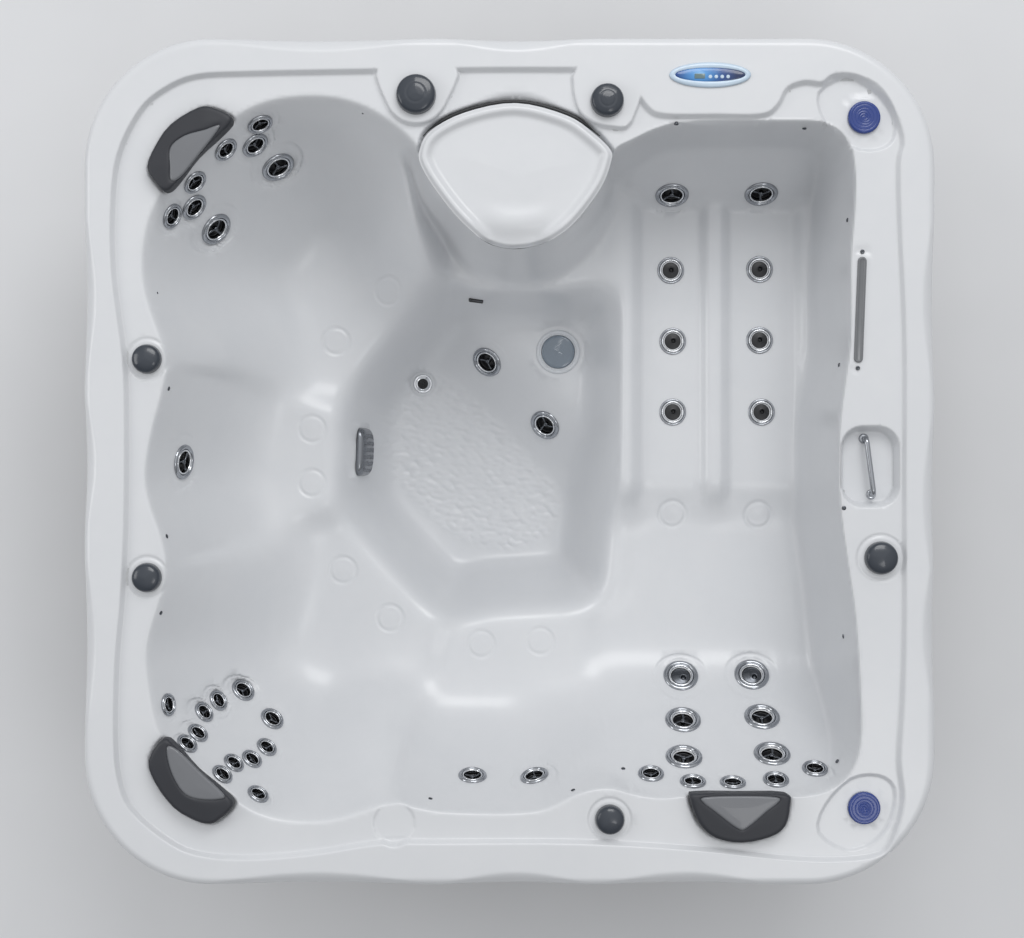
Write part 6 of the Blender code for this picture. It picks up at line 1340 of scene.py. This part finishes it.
lens_shares = np.linspace(0.02, 0.86, 44)
lens = [(0, seat_height + GAP + LIGHT_LENS_HEIGHT)]
lens += [(LIGHT_LENS_RADIUS * s, seat_height + GAP + LIGHT_LENS_HEIGHT * (1 - .32 * s * s)) for s in lens_shares]
lens += [(LIGHT_LENS_RADIUS * s, seat_height + GAP + LIGHT_LENS_HEIGHT * r) for s, r in
         ((.88, .70), (.91, .70), (.95, .64), (.98, .50), (.995, .3), (1, .1), (1, 0), (.5, 0))]
lens += [(0, seat_height + GAP)]
outward(piece("light_glass", *turned(LIGHT_SEAT, lens, 96, fan), "clear_lens", "clear_lens",
              stands_for=("light_lens",)))

u, v = np.meshgrid(np.linspace(-1, 1, 57), np.linspace(-1, 1, 49), indexing="ij")
corner = SUCTION_CORNER / SUCTION_HALF_WIDTH
edge_u, edge_v = SUCTION_HALF_WIDTH * u, SUCTION_HALF_HEIGHT * v
rounding = np.maximum(np.abs(u), np.abs(v)) / np.maximum((np.abs(u) ** 5 + np.abs(v) ** 5) ** 0.2, 1e-9)
cover_u, cover_v = edge_u * rounding, edge_v * rounding
rim_share = np.maximum(np.abs(u), np.abs(v))
slots = (np.mod(np.arange(57)[:, None], 8) < 4) * (np.mod(np.arange(49)[None, :], 6) < 3)
dome_height = GAP + SUCTION_HEIGHT * np.sqrt(np.clip(1 - rim_share ** 5, 0, 1)) * (0.86 + 0.14 * (1 - u * u))
dome_height = dome_height - 0.005 * slots * (rim_share < .82)
upper_points = on_seat(SUCTION_SEAT, cover_u, cover_v, np.maximum(dome_height, GAP))
lower_points = on_seat(SUCTION_SEAT, cover_u, cover_v, np.full(u.shape, GAP))
faces = sheet_faces(57, 49).tolist()
lower_faces = (sheet_faces(57, 49) + u.size)[:, ::-1].tolist()
outward(piece("suction_grille", np.vstack([upper_points.reshape(-1, 3), lower_points.reshape(-1, 3)]),
              faces + lower_faces, "suction_metal", "chrome", stands_for=("suction_cover",)))

outward(piece("floor_drain_ring", *turned(DRAIN_SEAT, scaled(
    ((1.0, 0), (.99, .0018), (.95, .0036), (.87, .0046), (.79, .0040), (.72, .0026), (.66, .0014), (.60, .0008),
     (.53, .0006), (.53, -.045), (.535, -.045), (.54, 0)), DRAIN_RADIUS), 48, ring=True), "bright_metal", "chrome",
    stands_for=("floor_drain",)))
drain_parts = [turned(DRAIN_SEAT, [(0, -.010), (.010, -.010), (.0148, -.010), (.0148, -.045), (0, -.045)], 24)]
drain_parts += spoked_rotor(DRAIN_SEAT, .026, 4, 0.8, -.001)
outward(piece("floor_drain_cross", *join(drain_parts), "black_plastic", "black_plastic"))

# Lid and filter

lid_loop = resample(LID_LINE, 0.009)
lid_middle = lid_loop.mean(0)
lid_shares = np.concatenate([[0, .006, .012, .02, .03, .04, .05, .062, .075, .09, .105, .125, .15, .18, .21, .24],
                             np.linspace(.28, .98, 22)])
lid_xy = lid_middle + (lid_loop - lid_middle)[None] * (1 - lid_shares)[:, None, None]
lid_in = inside_distance(lid_xy[..., 0], lid_xy[..., 1], lid_loop)
lid_in[0] = 0
lid_top = HEIGHT + LID_TOP_PROUD - GAP
front = ramp(-lid_xy[..., 1], -.615 * HALF[1], -.53 * HALF[1]) * (
    1 - ramp(np.abs(lid_xy[..., 0] - lid_middle[0]), .05, .115))
lid_z = (lid_top - .010 * (1 - ramp(lid_in, 0, .012)) - LID_DISH * ramp(lid_in, .016, .034) * (1 - front)
         + .003 * ramp(lid_in, .05, .20) - .026 * front * (1 - ramp(lid_in, 0, .085)))
lid_low = HEIGHT - LID_LEDGE_DROP + GAP * 2 + 0.005
rings = [np.column_stack([lid_middle + (lid_loop - lid_middle) * share, np.full(len(lid_loop), height)])
         for share, height in ((.965, lid_low), (.992, lid_low + .002), (1.0, lid_low + .008), (1.0, lid_top - .016))]
upper = np.concatenate([lid_xy, lid_z[..., None]], 2)
points = np.vstack(rings + [upper.reshape(-1, 3), [[*lid_middle, lid_z[-1].mean()]],
                            [[*lid_middle, lid_low]]])
rows, columns = len(rings) + len(lid_shares), len(lid_loop)
faces = [tuple(f) for f in sheet_faces(rows, columns, False, True)]
around = np.arange(columns)
faces += [(int(a) + (rows - 1) * columns, int(b) + (rows - 1) * columns, rows * columns)
          for a, b in zip(around, (around + 1) % columns)]
faces += [(int(b), int(a), rows * columns + 1) for a, b in zip(around, (around + 1) % columns)]
outward(piece("filter_lid_cover", points, faces, "acrylic", "acrylic", "filter_lid", ("filter_lid",)))

# A black tube in the gap behind the lid, below the rim: painted shade, a dark piece standing for the shade of the open
# slot into the skimmer.
line = resample(LID_LINE, 0.012)
behind = (line[:, 1] > 0.755 * HALF[1])
line = line[behind][np.argsort(line[behind][:, 0])]
outward_way = line - (lid_middle + [0, -.2])
outward_way /= np.linalg.norm(outward_way, axis=1, keepdims=True)
path = np.column_stack([line + outward_way * 0.0068, np.full(len(line), HEIGHT - 0.021)])
thickness = 0.0050 * np.clip(np.minimum(np.arange(len(path)), np.arange(len(path))[::-1]) / 5, 0.25, 1)
outward(piece("lid_gap_painted_shade", *tube(path, thickness, 12, flat=1.0), "black_plastic", "black_plastic"))

# Pillows


def pad_rings(loop, middle, levels):
    """Outline rings drawn in by a distance and lifted, for each level of (inset, height)."""
    away = np.linalg.norm(loop - middle, axis=1, keepdims=True)
    return [np.column_stack([middle + (loop - middle) * (1 - inset / away), np.full(len(loop), height)])
            for inset, height in levels]


pillow_floor = HEIGHT - PILLOW_POCKET_DROP + GAP
for name, line in PILLOW_LINES.items():
    loop = resample(line, 0.006)
    middle = loop.mean(0)
    insert = resample(closed_curve(INSERT_SHARES[name], 4), 0.005)
    shares = np.concatenate([[0, .01, .025, .045, .07, .10, .14, .18], np.linspace(.22, .97, 22)])
    xy = middle + (loop - middle)[None] * (1 - shares)[:, None, None] * .985
    inside = inside_distance(xy[..., 0], xy[..., 1], xy[0])
    inside[0] = 0
    well = inside_distance(xy[..., 0], xy[..., 1], insert)
    crown = PILLOW_HEIGHT + .003
    edge = np.sqrt(np.clip(1 - (1 - np.clip(inside / .010, 0, 1)) ** 2, 0, 1))
    z = pillow_floor + crown * (0.76 + 0.18 * edge + 0.06 * ramp(inside, 0, .05))
    z = z - .0045 * ramp(well, -.003, .003)
    rings = [np.column_stack([middle + (xy[0] - middle) * share, np.full(len(loop), pillow_floor + crown * rise)])
             for share, rise in ((.95, 0), (.985, .04), (1.0, .14), (1.006, .36), (1.006, .58), (1.003, .70))]
    upper = np.concatenate([xy, z[..., None]], 2)
    points = np.vstack(rings + [upper.reshape(-1, 3), [[*middle, z[-1].mean()]], [[*middle, pillow_floor]]])
    rows, columns = len(rings) + len(shares), len(loop)
    around = np.arange(columns)
    after = (around + 1) % columns
    faces = [tuple(f) for f in sheet_faces(rows, columns, False, True)]
    faces += [(int(a) + (rows - 1) * columns, int(b) + (rows - 1) * columns, rows * columns)
              for a, b in zip(around, after)]
    faces += [(int(b), int(a), rows * columns + 1) for a, b in zip(around, after)]
    body_piece = outward(piece(name + "_pad", points, faces, "pillow_foam", "pillow_foam", stands_for=(name,)))
    mid = insert.mean(0)
    steps = np.concatenate([[0, .01, .025, .05, .08, .12], np.linspace(.2, .97, 12)])
    xy = mid + (insert - mid)[None] * (1 - steps)[:, None, None]
    deep = inside_distance(xy[..., 0], xy[..., 1], xy[0])
    deep[0] = 0
    base = pillow_floor + crown - .0065
    z = base + .0062 * np.sqrt(np.clip(1 - (1 - np.clip(deep / .006, 0, 1)) ** 2, 0, 1)) + .001 * ramp(deep, 0, .03)
    upper = np.concatenate([xy, z[..., None]], 2)
    points = np.vstack([upper.reshape(-1, 3), [[*mid, z[-1].mean()]], [[*mid, base - .004]]])
    rows, columns = len(steps), len(insert)
    around = np.arange(columns)
    after = (around + 1) % columns
    faces = [tuple(f) for f in sheet_faces(rows, columns, False, True)]
    faces += [(int(a) + (rows - 1) * columns, int(b) + (rows - 1) * columns, rows * columns)
              for a, b in zip(around, after)]
    faces += [(int(b), int(a), rows * columns + 1) for a, b in zip(around, after)]
    outward(piece(name + "_insert", points, faces, "pillow_insert", "pillow_foam"))

# Small points on the walls

leds = [turned(seat_frame, [(0, .0022), (.0022, .0020), (.0040, .0012), (.0052, .0008), (.0056, -.0005), (.004, -.006),
                            (0, -.006)], 20) for seat_frame in LED_SEATS]
outward(piece("wall_led_points", *join(leds), "dark_metal", "chrome"))
outward(piece("water_level_slot", *slab_on(SLIT_SEAT, .020, .012, .004, [
    (.003, -.004), (0, -.001), (0, .0012), (.001, .0018), (.0025, .0016), (.003, .0008)]), "black_plastic",
    "black_plastic"))

# The carried-over solids

REPLACED = {"shell", "filter_lid", "control_panel", "waterfall_spout", "grab_rail", "light_housing", "light_lens",
            "suction_cover", "floor_drain", *JETS, *TURNING_JETS.values(), *KNOBS, *CAPS, *PILLOW_LINES,
            *(f"panel_button_{index}" for index in range(1, 5))}
for part in frame["record"]["subparts"]:
    node = part["node"]
    if node not in REPLACED:
        mesh = NODES[node].data
        mesh.materials.clear()
        mesh.materials.append(FINISHES[part["material_slot"]])

# Floor, light and camera


def studio_floor():
    """A wide pale sheet under the tub."""
    finish = Finish("studio_floor", rgb(222, 223, 225), 0.9)
    finish.set(Base_Color=finish.mix(finish.noise(3.0, 2.0), four(rgb(219, 220, 222)), four(rgb(225, 226, 228))))
    mesh = bpy.data.meshes.new("studio_floor")
    reach = 14.0
    mesh.from_pydata([(-reach, -reach, 0), (reach, -reach, 0), (reach, reach, 0), (-reach, reach, 0)], [],
                     [(0, 1, 2, 3)])
    mesh.materials.append(finish.material)
    made = bpy.data.objects.new("studio_floor", mesh)
    bpy.context.scene.collection.objects.link(made)


def softbox(name, spot, aim, size, power):
    """A square soft lamp at a place, facing another place."""
    lamp = bpy.data.lights.new(name, "AREA")
    lamp.shape, lamp.size, lamp.size_y, lamp.energy = "RECTANGLE", size[0], size[1], power
    made = bpy.data.objects.new(name, lamp)
    made.location = spot
    made.rotation_euler = (Vector(aim) - Vector(spot)).to_track_quat("-Z", "Y").to_euler()
    bpy.context.scene.collection.objects.link(made)


def studio_sky():
    """A soft sky: glow = 0.28 + 0.72 * (cosine of the angle to a place above the back edge) ^ 1.5,
    and plain pale behind everything that the camera sees."""
    world = bpy.data.worlds.new("studio_world")
    world.use_nodes = True
    tree = world.node_tree
    spot = tree.nodes.new("ShaderNodeTexCoord")
    aim = tree.nodes.new("ShaderNodeVectorMath")
    aim.operation = "DOT_PRODUCT"
    aim.inputs[1].default_value = Vector((0.1, 0.42, 0.9)).normalized()
    tree.links.new(spot.outputs["Generated"], aim.inputs[0])
    facing = Value(tree, aim.outputs["Value"]).clamped()
    glow = facing.join("POWER", facing, 1.5) * 0.72 + 0.28
    seen = Value(tree, tree.nodes.new("ShaderNodeLightPath").outputs["Is Camera Ray"])
    background = tree.nodes["Background"]
    background.inputs["Color"].default_value = (0.975, 0.985, 1.0, 1)
    tree.links.new((glow * (1 - seen) + seen * 0.86).socket, background.inputs["Strength"])
    return world


def studio():
    studio_floor()
    softbox("key_softbox", (0.9, 3.8, 4.9), (0, 0, 0.6), (3.4, 2.4), 104)
    softbox("fill_softbox", (-4.2, 0.4, 3.0), (0.8, 0, 0.6), (2.6, 1.6), 34)
    softbox("window_softbox", (1.7, -1.9, 5.3), (0, 0, 0.6), (1.5, 1.1), 14)
    bpy.context.scene.world = studio_sky()
    camera = bpy.data.cameras.new("view_camera")
    camera.sensor_width = 36.0
    camera.lens = 58.82
    camera.shift_x, camera.shift_y = 2.5 / 1024, -7.5 / 1024
    made = bpy.data.objects.new("view_camera", camera)
    made.location = (0, 0, 5.0)
    bpy.context.scene.collection.objects.link(made)
    bpy.context.scene.camera = made
    bpy.context.scene.view_settings.view_transform = "Standard"


studio()
